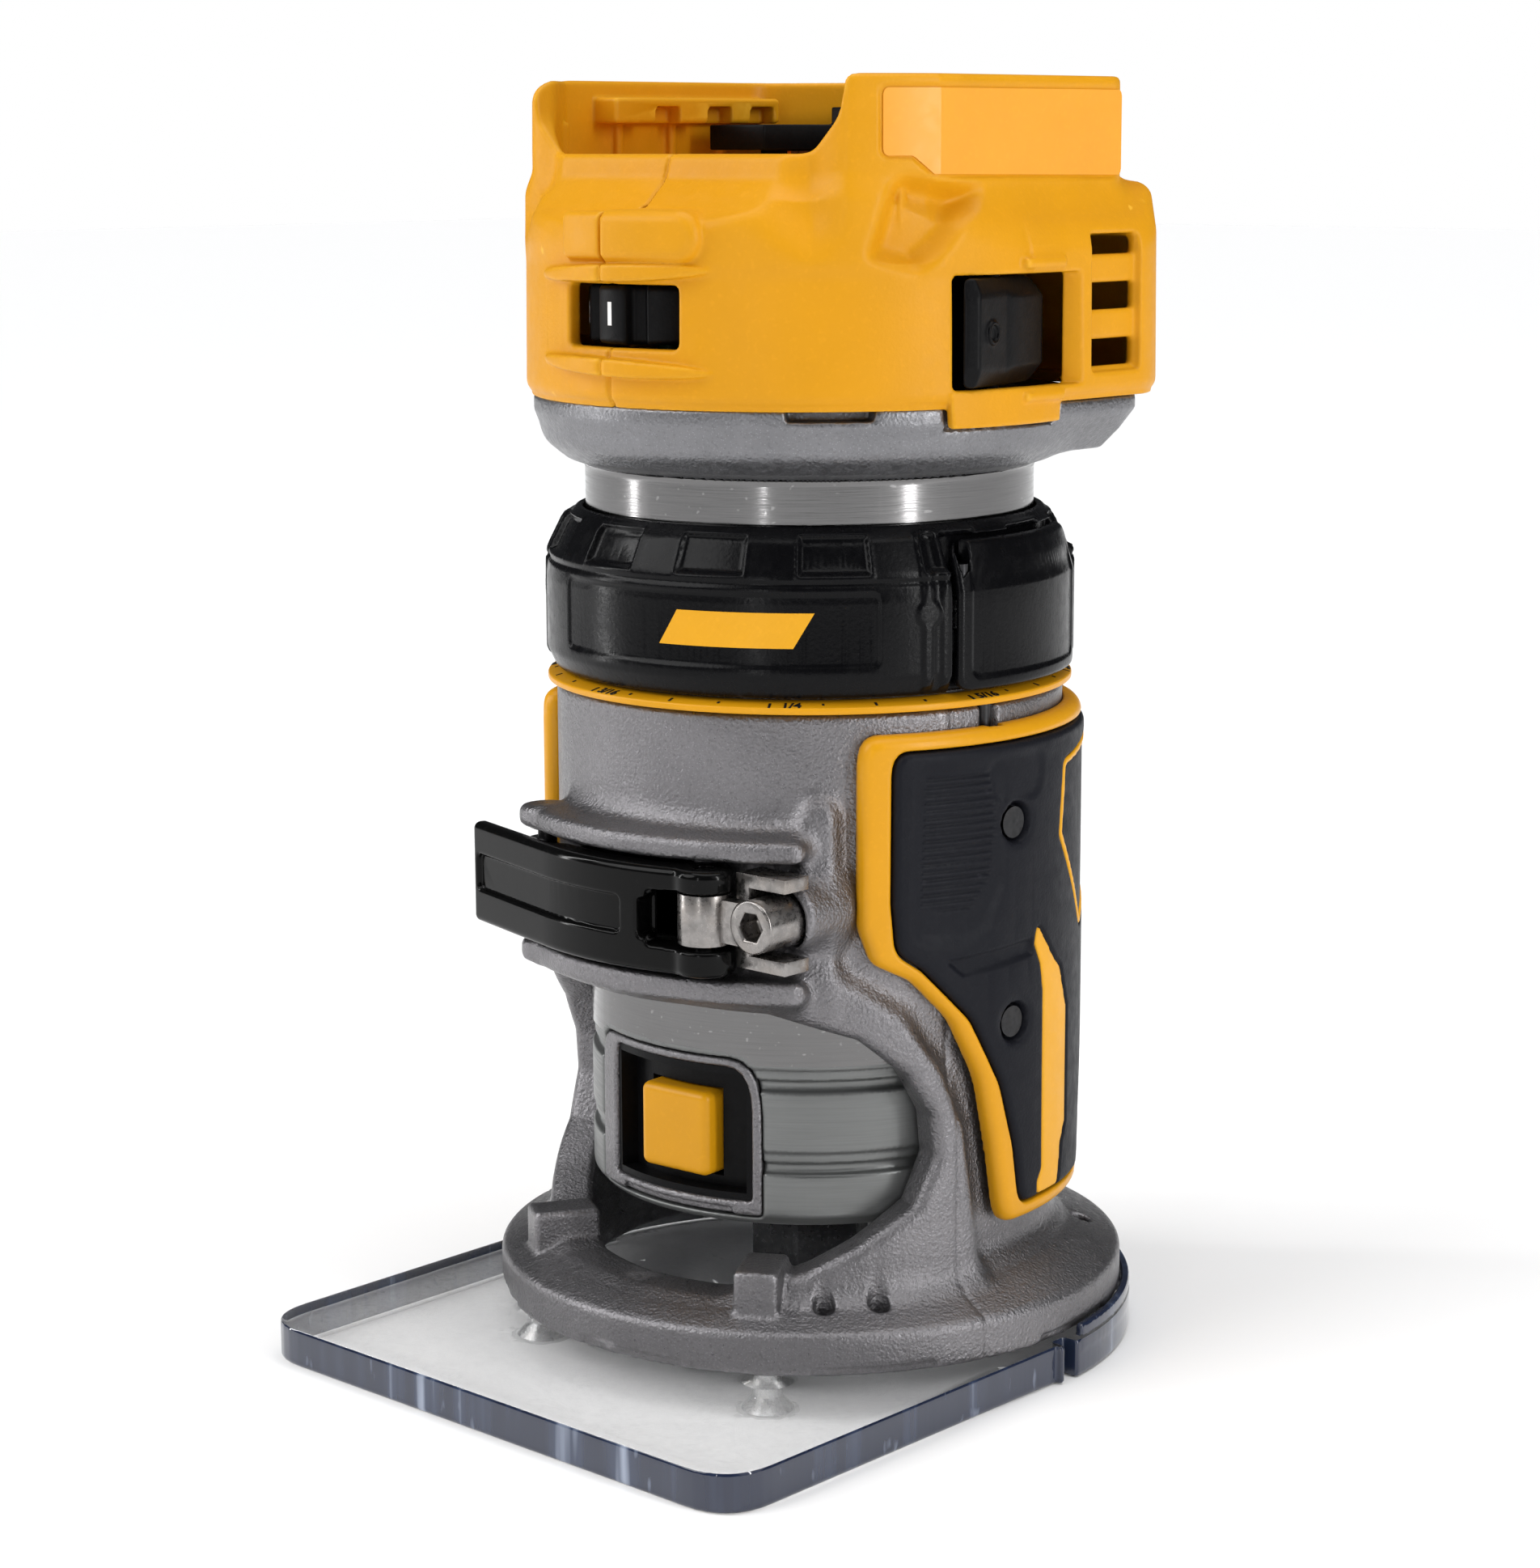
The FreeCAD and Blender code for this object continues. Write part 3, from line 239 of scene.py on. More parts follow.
def scored(mesh, height):
    """Adds an edge round a mesh at a height in millimetres, so that paint can stop there."""
    form = bmesh.new()
    form.from_mesh(mesh)
    bmesh.ops.bisect_plane(form, geom=form.verts[:] + form.edges[:] + form.faces[:], dist=1e-7,
                           plane_co=(0, 0, height * MM), plane_no=(0, 0, 1))
    bmesh.ops.triangulate(form, faces=form.faces[:])
    form.to_mesh(mesh)
    form.free()


def solid(name, p, d, keep, trim=None, score=()):
    """Meshes a field, thins the mesh and takes the shading normals from the field."""
    reach = 3 * p.step
    d = np.ascontiguousarray(np.clip(d, -reach, reach), dtype=np.float32)
    for axis in range(3):
        for end in (0, -1):
            edge = [slice(None)] * 3
            edge[axis] = end
            d[tuple(edge)] = np.maximum(d[tuple(edge)], 0.1 * p.step)
    grid = vdb.FloatGrid()
    grid.background = reach
    grid.copyFromArray(d)
    points, triangles, quads = grid.convertToPolygons(isovalue=0.0, adaptivity=0.0)
    points = p.low + np.asarray(points, float) * p.step
    faces = np.asarray(quads, int).tolist() + np.asarray(triangles, int).tolist()
    mesh = bpy.data.meshes.new(name)
    mesh.from_pydata((points * MM).tolist(), [], faces)
    first = np.asarray(quads, int)
    corner = points[first]
    normal = np.cross(corner[:, 2] - corner[:, 0], corner[:, 3] - corner[:, 1])
    normal = 0.5 * p.step * normal / (np.linalg.norm(normal, axis=1)[:, None] + 1e-9)
    outward = sampled(d, p, corner.mean(1) + normal)
    if outward.mean() < 0:
        mesh.flip_normals()
    obj = linked(name, mesh)
    obj.modifiers.new("thin", "DECIMATE").ratio = keep
    full = mesh
    mesh = baked(obj)
    bpy.data.meshes.remove(full)
    mesh.name = name
    if trim:
        trimmed(mesh, *trim)
    for height in score:
        scored(mesh, height)
    mesh.polygons.foreach_set("use_smooth", [True] * len(mesh.polygons))
    places = np.zeros(len(mesh.vertices) * 3, np.float32)
    mesh.vertices.foreach_get("co", places)
    places = places.reshape(-1, 3).astype(float) / MM
    normals = np.zeros(places.shape)
    for axis in range(3):
        shift = np.zeros(3)
        shift[axis] = 0.8 * p.step
        normals[:, axis] = sampled(d, p, places + shift) - sampled(d, p, places - shift)
    normals /= np.linalg.norm(normals, axis=1)[:, None] + 1e-9
    corners = np.zeros(len(mesh.loops), np.int32)
    mesh.loops.foreach_get("vertex_index", corners)
    corner_normals = normals[corners]
    for polygon in mesh.polygons if trim or score else ():
        flat_end = trim and abs(polygon.normal.x) > 0.999 and abs(polygon.center.x / MM - trim[0]) < 0.01
        if flat_end or score and abs(polygon.normal.z) > 0.9995:
            corner_normals[polygon.loop_start:polygon.loop_start + polygon.loop_total] = polygon.normal
    mesh.normals_split_custom_set(corner_normals.tolist())
    return obj


def mirror(obj, name):
    """A copy of a piece on the other side of the middle plane."""
    mesh = obj.data.copy()
    mesh.transform(Matrix.Scale(-1, 4, (1, 0, 0)))
    mesh.flip_normals()
    return linked(name, mesh)


def softened(node, name, width, segments=2):
    """A copy of a CAD node with its edges rounded over."""
    mesh = frame["nodes"][node].data.copy()
    mesh.name = name
    mesh.materials.clear()
    form = bmesh.new()
    form.from_mesh(mesh)
    bmesh.ops.remove_doubles(form, verts=form.verts, dist=1e-6)
    bmesh.ops.dissolve_limit(form, angle_limit=math.radians(0.4), verts=form.verts, edges=form.edges)
    form.to_mesh(mesh)
    form.free()
    obj = linked(name, mesh)
    round_over = obj.modifiers.new("round", "BEVEL")
    round_over.width = width * MM
    round_over.segments = segments
    round_over.limit_method = "ANGLE"
    round_over.angle_limit = math.radians(32)
    mesh = baked(obj)
    mesh.polygons.foreach_set("use_smooth", [True] * len(mesh.polygons))
    mesh.set_sharp_from_angle(angle=math.radians(38))
    return obj


def finish_with(obj, body, slot, *materials, stands_for=()):
    for material in materials:
        obj.data.materials.append(material)
    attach(obj, body)
    if stands_for:
        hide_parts(*stands_for)


def paint(obj, choose):
    """Gives each face the material whose number choose(centres in mm) returns."""
    centres = np.zeros(len(obj.data.polygons) * 3, np.float32)
    obj.data.polygons.foreach_get("center", centres)
    picks = np.asarray(choose(centres.reshape(-1, 3) / MM), dtype=np.int32)
    obj.data.polygons.foreach_set("material_index", picks)
    obj.data.update()


# ---- finishes -------------------------------------------------------------------------------------

class Finish:
    """A Principled material with procedural colour, roughness and relief."""

    def __init__(self, name, color, rough, metal=0.0, **sockets):
        self.material = bpy.data.materials.new(name)
        self.material.use_nodes = True
        self.tree = self.material.node_tree
        self.shader = self.tree.nodes["Principled BSDF"]
        self.color = (*color, 1.0)
        self.shader.inputs["Base Color"].default_value = self.color
        self.shader.inputs["Roughness"].default_value = rough
        self.shader.inputs["Metallic"].default_value = metal
        for socket, value in sockets.items():
            self.shader.inputs[socket.replace("_", " ")].default_value = value
        self.place = self.tree.nodes.new("ShaderNodeTexCoord").outputs["Object"]
        self.normal = None

    def node(self, kind, links=(), **settings):
        node = self.tree.nodes.new(kind)
        for key, value in settings.items():
            setattr(node, key, value)
        for socket, value in dict(links).items():
            if isinstance(value, bpy.types.NodeSocket):
                self.tree.links.new(value, node.inputs[socket])
            else:
                node.inputs[socket].default_value = value
        return node

    def stretched(self, scale):
        return self.node("ShaderNodeMapping", {"Vector": self.place, "Scale": scale}).outputs["Vector"]

    def noise(self, size, detail=3.0, stretch=None, rough=0.55):
        """Noise whose features are about size millimetres across."""
        place = self.stretched(stretch) if stretch else self.place
        links = {"Vector": place, "Scale": 1.0 / (size * MM), "Detail": detail, "Roughness": rough}
        return self.node("ShaderNodeTexNoise", links).outputs["Fac"]

    def cells(self, size):
        links = {"Vector": self.place, "Scale": 1.0 / (size * MM)}
        return self.node("ShaderNodeTexVoronoi", links).outputs["Distance"]

    def range(self, value, low, high, new_low=0.0, new_high=1.0):
        links = {"Value": value, "From Min": low, "From Max": high, "To Min": new_low, "To Max": new_high}
        return self.node("ShaderNodeMapRange", links).outputs["Result"]

    def times(self, a, b):
        return self.node("ShaderNodeMath", {0: a, 1: b}, operation="MULTIPLY").outputs[0]

    def tint(self, amount, color):
        """Moves the colour towards another by an amount from 0 to 1."""
        mix = self.node("ShaderNodeMix", {0: amount, 6: self.color, 7: (*color, 1.0)}, data_type="RGBA")
        self.color = mix.outputs[2]
        self.tree.links.new(self.color, self.shader.inputs["Base Color"])

    def gloss(self, value):
        self.tree.links.new(value, self.shader.inputs["Roughness"])

    def relief(self, height, depth):
        """Raises the surface by up to depth millimetres where height is 1."""
        links = {"Height": height, "Distance": depth * MM, "Strength": 1.0}
        if self.normal:
            links["Normal"] = self.normal
        self.normal = self.node("ShaderNodeBump", links).outputs["Normal"]
        self.tree.links.new(self.normal, self.shader.inputs["Normal"])

    def edges(self, low=0.52, high=0.6):
        """1 on the sharper outside edges: where a moulding's finish wears, and where the casting's painted
        highlight goes.
        """
        pointed = self.node("ShaderNodeNewGeometry").outputs["Pointiness"]
        return self.range(pointed, low, high)


def moulded(name, color, rough, grain=0.55, depth=0.03, edge=None, **sockets):
    """Spark-textured moulded plastic."""
    f = Finish(name, color, rough, **sockets)
    f.tint(f.range(f.noise(14, 2), 0.35, 0.7, 0.0, 0.35), tuple(c * 0.86 for c in color))
    f.tint(f.range(f.noise(0.9, 4), 0.55, 0.75, 0.0, 0.18), tuple(min(1, c * 1.25 + 0.01) for c in color))
    if edge:
        f.tint(f.times(f.edges(), f.range(f.noise(3, 3), 0.4, 0.6, 0.1, 0.7)), edge)
    f.gloss(f.range(f.noise(2.2, 4), 0.3, 0.7, rough - 0.05, rough + 0.07))
    f.relief(f.noise(grain, 2), depth)
    return f.material


def cast_metal(name, color, rough, grain=0.7, depth=0.12, metal=0.85):
    """Bead-blasted die casting: a grain with painted glints, cloudy patches, and painted highlights on its
    edges.
    """
    f = Finish(name, color, rough, metal)
    f.tint(f.range(f.noise(9, 3), 0.35, 0.7, 0.0, 0.45), tuple(c * 0.72 for c in color))
    # light specks painted into the colour: painted glints on the blasted grain
    f.tint(f.range(f.cells(0.42), 0.0, 0.28, 0.75, 0.0), tuple(min(1, c * 1.7) for c in color))
    f.tint(f.range(f.noise(0.5, 2), 0.56, 0.72, 0.0, 0.5), tuple(c * 0.55 for c in color))
    # sharper edges painted lighter: a painted highlight along them
    f.tint(f.times(f.edges(0.515, 0.6), f.range(f.noise(2.5, 3), 0.38, 0.6, 0.15, 0.9)),
           tuple(min(1, c * 1.9) for c in color))
    f.gloss(f.range(f.noise(1.2, 4), 0.3, 0.7, rough - 0.08, rough + 0.1))
    f.relief(f.noise(grain, 4, rough=0.65), depth)
    f.relief(f.cells(0.5), depth * 0.35)
    return f.material


def turned_metal(name, color, rough, scratch=0.5, metal=1.0):
    """Lathe-turned aluminium: fine rings round the axis, a few handling scratches."""
    f = Finish(name, color, rough, metal)
    rings = f.noise(0.22, 2, stretch=(0.02, 0.02, 1.0))
    f.tint(f.range(rings, 0.35, 0.7, 0.0, 0.35), tuple(c * 0.8 for c in color))
    f.tint(f.range(f.noise(11, 3), 0.4, 0.7, 0.0, 0.25), tuple(c * 0.78 for c in color))
    for slope in (0.6, -0.9) if scratch else ():
        turned = f.node("ShaderNodeMapping", {"Vector": f.place, "Rotation": (slope, 0.4, slope * 2),
                                              "Scale": (1.0, 0.03, 1.0)}).outputs["Vector"]
        lines = f.node("ShaderNodeTexNoise", {"Vector": turned, "Scale": 900.0, "Detail": 1.0})
        f.tint(f.range(lines.outputs["Fac"], 0.72, 0.78, 0.0, scratch), tuple(min(1, c * 2.2) for c in color))
    f.gloss(f.range(rings, 0.3, 0.7, rough - 0.06, rough + 0.1))
    f.relief(rings, 0.012)
    return f.material


def machined(name, color, rough):
    """Plated or blackened steel, slightly blotched."""
    f = Finish(name, color, rough, 1.0)
    f.tint(f.range(f.noise(1.6, 4), 0.4, 0.7, 0.0, 0.55), tuple(c * 0.55 for c in color))
    f.tint(f.range(f.noise(5, 2), 0.5, 0.75, 0.0, 0.3), (color[0] * 1.3, color[1] * 1.15, color[2]))
    f.gloss(f.range(f.noise(0.8, 3), 0.3, 0.7, max(rough - 0.08, 0.05), rough + 0.12))
    f.relief(f.noise(0.35, 3), 0.008)
    return f.material


def clear_plastic(name):
    f = Finish(name, (0.99, 0.995, 1.0), 0.03, Transmission_Weight=1.0, IOR=1.45, Alpha=0.4)
    f.gloss(f.range(f.noise(6, 4), 0.45, 0.75, 0.02, 0.09))
    f.relief(f.noise(26, 2), 0.02)
    return f.material


def clear_edge(name):
    """The polished rim of a clear sheet: dark blue base colour as a painted reflection of the room, painted
    highlight streaks.
    """
    # the dark blue base colour is a painted reflection of the dark room
    f = Finish(name, (0.012, 0.018, 0.042), 0.07, IOR=1.5, Coat_Weight=0.6, Coat_Roughness=0.03)
    # lighter streaks painted into the colour: painted highlights
    highlight_streaks = f.noise(7.0, 3, stretch=(1.0, 1.0, 0.05))
    f.tint(f.range(highlight_streaks, 0.5, 0.66, 0.0, 0.4), (0.07, 0.10, 0.18))
    f.tint(f.range(highlight_streaks, 0.63, 0.74, 0.0, 0.8), (0.50, 0.56, 0.68))
    # finer painted highlight streaks
    fine = f.noise(2.6, 2, stretch=(1.0, 1.0, 0.3))
    f.tint(f.range(fine, 0.66, 0.76, 0.0, 0.4), (0.3, 0.35, 0.46))
    f.relief(f.noise(2.6, 2, stretch=(1.0, 1.0, 0.1)), 0.05)
    return f.material


YELLOW = (0.68, 0.30, 0.005)
yellow = moulded("yellow_plastic", YELLOW, 0.42, grain=0.5, depth=0.035, edge=(0.90, 0.50, 0.04),
                 Specular_IOR_Level=0.2)
yellow_smooth = moulded("yellow_satin", (0.68, 0.31, 0.005), 0.33, grain=1.2, depth=0.012,
                        Specular_IOR_Level=0.25)
yellow_mark = moulded("yellow_mark", (0.76, 0.36, 0.010), 0.38, grain=0.8, depth=0.01,
                      Specular_IOR_Level=0.25)
casting_metal = cast_metal("cast_aluminium", (0.205, 0.199, 0.207), 0.34, grain=0.7, depth=0.2)
cone_metal = cast_metal("blasted_aluminium", (0.21, 0.21, 0.22), 0.36, grain=0.9, depth=0.12)
tube_metal = turned_metal("turned_aluminium", (0.17, 0.168, 0.168), 0.13)
satin_metal = turned_metal("satin_aluminium", (0.185, 0.19, 0.187), 0.36, scratch=0.0, metal=0.7)
DULL = {"Specular_IOR_Level": 0.1}
collar_black = moulded("black_satin", (0.0028, 0.0028, 0.0034), 0.24, grain=0.6, depth=0.03,
                       edge=(0.014, 0.014, 0.016), Specular_IOR_Level=0.12)
rubber = moulded("black_rubber", (0.0085, 0.009, 0.0125), 0.45, grain=0.42, depth=0.05,
                 edge=(0.018, 0.018, 0.023), **DULL)
plain_black = moulded("black_plastic", (0.0035, 0.0035, 0.004), 0.38, grain=0.5, depth=0.03, **DULL)
lever_black = moulded("gloss_black", (0.0025, 0.0025, 0.0025), 0.13, grain=2.5, depth=0.012,
                      Specular_IOR_Level=0.1, Coat_Weight=0.06, Coat_Roughness=0.05)
gunmetal = machined("gunmetal", (0.30, 0.285, 0.275), 0.28)
steel = machined("steel", (0.55, 0.55, 0.55), 0.25)
dark_steel = machined("dark_steel", (0.045, 0.045, 0.047), 0.35)
clear = clear_plastic("clear_plastic")
clear_rim = clear_edge("clear_rim")
ink = moulded("black_ink", (0.006, 0.006, 0.006), 0.5, grain=0.8, depth=0.005)
white_ink = moulded("white_ink", (0.85, 0.85, 0.84), 0.45, grain=0.8, depth=0.005)
label_paint = moulded("label_orange", (0.82, 0.345, 0.02), 0.4, grain=1.5, depth=0.006)
copper = machined("copper", (0.62, 0.25, 0.1), 0.3)
lamination = machined("lamination", (0.2, 0.2, 0.21), 0.4)
board_green = moulded("board", (0.01, 0.09, 0.03), 0.4)
lens_clear = moulded("lens", (0.8, 0.8, 0.72), 0.15, grain=1.5, depth=0.01)


# ---- base -----------------------------------------------------------------------------------------

ARCH = [(0, 60.6), (14.9, 60.8), (33.0, 60.3), (51.8, 56.1), (62.5, 50.0), (68.3, 43.2), (69.3, 36.8),
        (64.5, 29.7), (51.9, 24.1), (41.5, 20.6), (31.0, 18.0), (22, 16.2), (0, 16.0)]
HOOD = [(0, 67.0), (41.6, 67.8), (51.4, 64.0), (61.6, 59.1), (70.5, 50.5), (76.0, 41.0), (78.5, 30.0),
        (80.5, 18.9), (82.0, 9.0), (0, 9.0)]
BOSS_R = 44.4
LUG_ANGLE = 31.5
GUIDE_ANGLE = 84.4
FENCE_HOLE_ANGLES = (44.5, 55.5, 133)
LEVER_PIVOT = around(45.5, 22)
SCREW_ANGLES = (-33.5, 33.5, 135, 225)
PAD_ANGLES = (-45, -22, 0, 22, 45, -68, 68, 135, 180, 225)


def base_casting():
    p = Space((-51.5, -51.5, 5.0), (51.5, 51.5, 113.5), 0.5)
    ring = rounded([(36.2, 7.0), (50, 7.0), (50, 13.4), (41.4, 16.8), (38.7, 19.5), (38.6, 54.0),
                    (39.7, 60.5), (39.7, 104.9), (36.9, 105.0), (36.9, 112), (35.2, 112), (35.2, 17.5),
                    (36.2, 15.5)],
                   [0.6, 0.8, 1.6, 3.0, 4.0, 0, 0, 1.0, 0, 0.5, 0.5, 1.5, 0.8])
    d = spun(p, ring)
    hood = meet(wrapped(p, 40, 0, HOOD, side=True), slab(p.r, 36.5, 42.0), 1.6)
    d = join(d, hood, 3.2)
    shelf_low = spun(p, rounded([(36, 57.5), (40.4, 59.4), (46.3, 63.0), (46.3, 66.2), (36, 66.2)],
                                [0, 4, 1.4, 0.9, 0]))
    shelf_high = spun(p, rounded([(36, 83.9), (46.3, 83.9), (46.3, 87.0), (41.4, 87.8), (36, 92.5)],
                                 [0, 0.9, 1.5, 3.5, 0]))
    span = wedge(p, 7, 34.5)
    for shelf, low, high in ((shelf_low, 62.6, 66.2), (shelf_high, 83.9, 87.2)):
        d = join(d, meet(shelf, span, 2.4), 1.5)
        d = join(d, column(p, 4.3, low, high, *around(43.2, -28), 1.2), 1.0)
    wall = meet(meet(slab(p.r, 37.5, 41.9), wedge(p, 43.5, 3.4), 1.2), slab(p.z, 60, 92), 3)
    d = join(d, wall, 3.0)
    boss = meet(np.hypot(p.x - 27.6, p.z - 76.0) - 5.0, slab(p.y, -36.2, -26), 1.2)
    d = join(d, boss, 3.0)
    for angle in SCREW_ANGLES:
        d = join(d, column(p, 4.8, 7.0, 12.5, *around(BOSS_R, angle), 0.4), 0.8)
    d = cut(d, wrapped(p, 40.5, 0, ARCH, side=True), 2.0)
    ledge = meet(meet(slab(p.r, 35.2, 39.4), slab(p.z, 10, 17.6), 0.9), np.radians(36 - p.side) * p.r, 0.6)
    d = join(d, ledge, 1.2)
    tilt = math.radians(LUG_ANGLE)
    lug_across = np.abs(p.x) * math.cos(tilt) + p.y * math.sin(tilt)
    lug_out = np.abs(p.x) * math.sin(tilt) - p.y * math.cos(tilt)
    d = join(d, block(lug_across, lug_out, p.z, (-3.4, 35.6, 11), (3.4, 46.2, 21.6), 0.8), 0.7)
    gusset = meet(slab(lug_out, 36.4, 40.6), (lug_across - 3.2) * 0.75 + (p.z - 20.6) * 0.66, 0.8)
    gusset = meet(meet(gusset, slab(p.z, 11, 20.6), 0.6), slab(lug_across, 0, 14), 0.6)
    d = join(d, gusset, 1.0)
    rear = rounded([(180 - 32, 16.4), (180 - 32, 44), (181, 44), (181, 16.4)], [5, 5, 0, 0])
    d = cut(d, meet(wrapped(p, 38.6, 180, rear, side=True), -(p.r - 30)), 1.5)
    window = rounded([(-21.5, 68.8), (16.5, 68.8), (16.5, 82.4), (-21.5, 82.4)], 1.0)
    d = cut(d, meet(wrapped(p, 40, 0, window), 33 - p.r), 0.6)
    d = cut(d, block(p.x, p.y, p.z, (17, -47, 71.0), (35.5, -39.4, 80.2)), 1.0)
    d = cut(d, meet(np.hypot(p.x - 27.0, p.z - 75.6) - 4.4, p.y + 26.6), 0.5)
    d = cut(d, column(p, 5.2, 66.4, 83.8, *LEVER_PIVOT, 0.5), 0.4)
    for angle in (-GUIDE_ANGLE, GUIDE_ANGLE):
        d = cut(d, column(p, 1.75, 99.6, 120, *around(39.6, angle)), 0.3)
    for angle in FENCE_HOLE_ANGLES:
        d = cut(d, column(p, 1.65, 8.4, 30, *around(43.6, angle)), 0.35)
    for angle in range(8, 360, 45):
        step = meet(meet(wedge(p, angle, 11), p.z - 8.4, 0.3), 49.45 - p.r)
        d = cut(d, step, 0.2)
    d = meet(d, 35.2 - p.r)
    seam = meet(np.abs(np.radians(p.side - 74) * p.r) - 0.3, 14 - p.r)
    d = cut(d, meet(seam, -(d + 0.3)), 0.1)
    return solid("router_base_casting", p, d, 0.2)


RIM_BAND = (0.3, 6.05)


def sub_base():
    """The clear sheet: a round-backed outline with rounded edges, its holes, lip and pads."""
    p = Space((-52.6, -75.0, -1.0), (52.6, 53.0, 9.5), 0.42)
    corner = rounded([(-50.6, -73.3), (50.6, -73.3), (50.6, 8), (-50.6, 8)], [9, 9, 0, 0], 8)
    plan = join(outline(p.x, p.y, corner), meet(p.r - 51.6, -p.y))
    d = meet(plan, slab(p.z, 0, 6.35), 0.7)
    lip = meet(meet(slab(p.r, 50.3, 51.6), np.radians(96 - p.side) * p.r), slab(p.z, 4, 8.25), 0.3)
    d = join(d, lip, 0.2)
    for angle in PAD_ANGLES:
        d = join(d, column(p, 4.3, 4, 7.0, *around(BOSS_R, angle), 0.2), 0.2)
    d = cut(d, p.r - 15.9, 0.7)
    for angle in SCREW_ANGLES:
        x, y = around(BOSS_R, angle)
        sink = np.hypot(p.x - x, p.y - y) - np.maximum(2.3, 4.4 - np.maximum(p.z, 0))
        d = cut(d, sink)
    notch = block(np.abs(p.x), p.y, p.z, (48.8, 1, -2), (52, 4, 12))
    return solid("router_sub_base", p, cut(d, notch, 0.4), 0.3, score=RIM_BAND)


# The angle at the middle of a grip, and the radius of its rubber.
GRIP_MIDDLE = 106
RUBBER_R = 43.2


def grip_edge(points):
    """An outline drawn for a grip's front half, completed by its mirror about the middle."""
    return points + [(2 * GRIP_MIDDLE - a, z) for a, z in reversed(points)]


BEZEL = grip_edge([(51.8, 102.0), (51.6, 73.3), (54.6, 67.7), (63.1, 64.7), (72.3, 58.1), (79.6, 48.2),
                   (83.1, 36.9), (86.2, 24.2)])
PAD = grip_edge([(58.6, 99.5), (58.4, 77.0), (59.3, 69.3), (64.9, 66.5), (76.3, 58.0), (84.5, 47.0),
                 (88.6, 37.0), (90.8, 27.0)])
GRIP_ROUND = [4.5, 5, 4, 6, 12, 14, 14, 5, 5, 14, 14, 12, 6, 4, 5, 4.5]
PAD_ROUND = [3.5, 6, 4, 5, 10, 12, 12, 3.5, 3.5, 12, 12, 10, 5, 4, 6, 3.5]
STRIP = [(94.6, 67.5), (97.0, 64.0), (98.0, 60), (98.3, 31.5), (96.6, 29.5), (96.6, 27.6), (105.5, 27.6),
         (107.0, 34), (109.4, 37), (109.4, 55.5), (105.5, 62.5), (102.6, 64.2), (95.6, 70.5)]
PANEL = [(104.2, 83.0), (106.0, 94.8), (130.0, 97.0), (140, 90), (140, 72), (120, 66)]


def flat(points):
    """An outline of (angle, z) points on the rubber, laid out flat."""
    scale = math.radians(1) * RUBBER_R
    return [((a - GRIP_MIDDLE) * scale, z) for a, z in points]


def strip_edge(s, z):
    return outline(s, z, rounded(flat(STRIP), 0.6))


def panel_edge(s, z):
    return outline(s, z, rounded(flat(PANEL), 2.2))


def grip_parts():
    p = Space((11.0, -31.5, 22.0), (44.6, 44.0, 103.6), 0.34)
    band = wrapped(p, 42.6, GRIP_MIDDLE, rounded(BEZEL, GRIP_ROUND))
    room = wrapped(p, RUBBER_R, GRIP_MIDDLE, rounded(PAD, PAD_ROUND))
    bezel = meet(meet(band, p.r - 42.7, 2.0), 39.8 - p.r)
    bezel = cut(bezel, room - 0.15, 0.5)
    guide_slot = meet(wedge(p, GUIDE_ANGLE, 1.9), 101.0 - p.z, 0.6)
    bezel = cut(bezel, meet(guide_slot, p.r - 41), 0.3)

    def skin(s, z):
        """Height of the rubber over its radius."""
        height = np.zeros(np.broadcast(s, z).shape, np.float32)
        ribbed = [(65.5, 96.0), (64.4, 76.0), (75.0, 74.3), (81.0, 79.5), (82.8, 88), (80.5, 96)]
        mask = inside(outline(s, z, rounded(flat(ribbed), 1.0)), 0.7)
        ribs = 0.5 + 0.5 * np.cos((z - 74.9) * 2 * math.pi / 1.16)
        height += mask * (0.12 - 0.5 * (1 - ribs ** 0.7))
        bowl = [(63.5, 97.2), (62.6, 70.6), (74, 69.6), (80, 71.2), (84.5, 77.5), (84.6, 97.2)]
        height -= 0.55 * inside(outline(s, z, rounded(flat(bowl), 3.0)) + 0.5, 2.6)
        thumb = rounded(flat([(80.0, 97.5), (82.4, 90.5), (95.5, 90.5), (97.5, 97.5)]), 3)
        height -= 0.35 * inside(outline(s, z, thumb), 1.6)
        slot = rounded(flat([(70.0, 67.6), (74.0, 65.0), (93.4, 66.2), (93.0, 68.6)]), 0.3)
        height -= 0.55 * inside(outline(s, z, slot), 0.5)
        height -= 0.45 * inside(strip_edge(s, z) - 0.25, 0.4)
        panel = panel_edge(s, z)
        height -= 0.4 * inside(panel, 0.5) - 0.12 * inside(panel + 1.5, 0.8)
        for height_z in (87.1, 56.2):
            hole = np.hypot(s - math.radians(88.3 - GRIP_MIDDLE) * RUBBER_R, z - height_z) - 3.0
            height -= 1.9 * inside(hole, 0.4) + 0.25 * inside(hole - 0.8, 1.6)
        return height

    across = (p.a - GRIP_MIDDLE) * (math.radians(1) * RUBBER_R)
    swell = looked_up(p, across, skin)
    pad = meet(room + 0.12, p.r - 43.15 - swell, 1.1)
    pad = meet(pad, 39.8 - p.r)
    level = looked_up(p, across, strip_edge)
    strip = meet(meet(level, slab(p.r, 42.0, 43.0), 0.2), 39.8 - p.r)
    line = looked_up(p, across, lambda s, z: np.abs(panel_edge(s, z) + 0.75))
    line = meet(line - 0.5, slab(p.r, 42.0, 43.12), 0.2)
    return (solid("right_grip_bezel_moulding", p, bezel, 0.3), solid("right_grip_rubber", p, pad, 0.2),
            solid("right_grip_stripe", p, strip, 0.3), solid("right_grip_outline", p, line, 0.3))


# ---- clamp ----------------------------------------------------------------------------------------

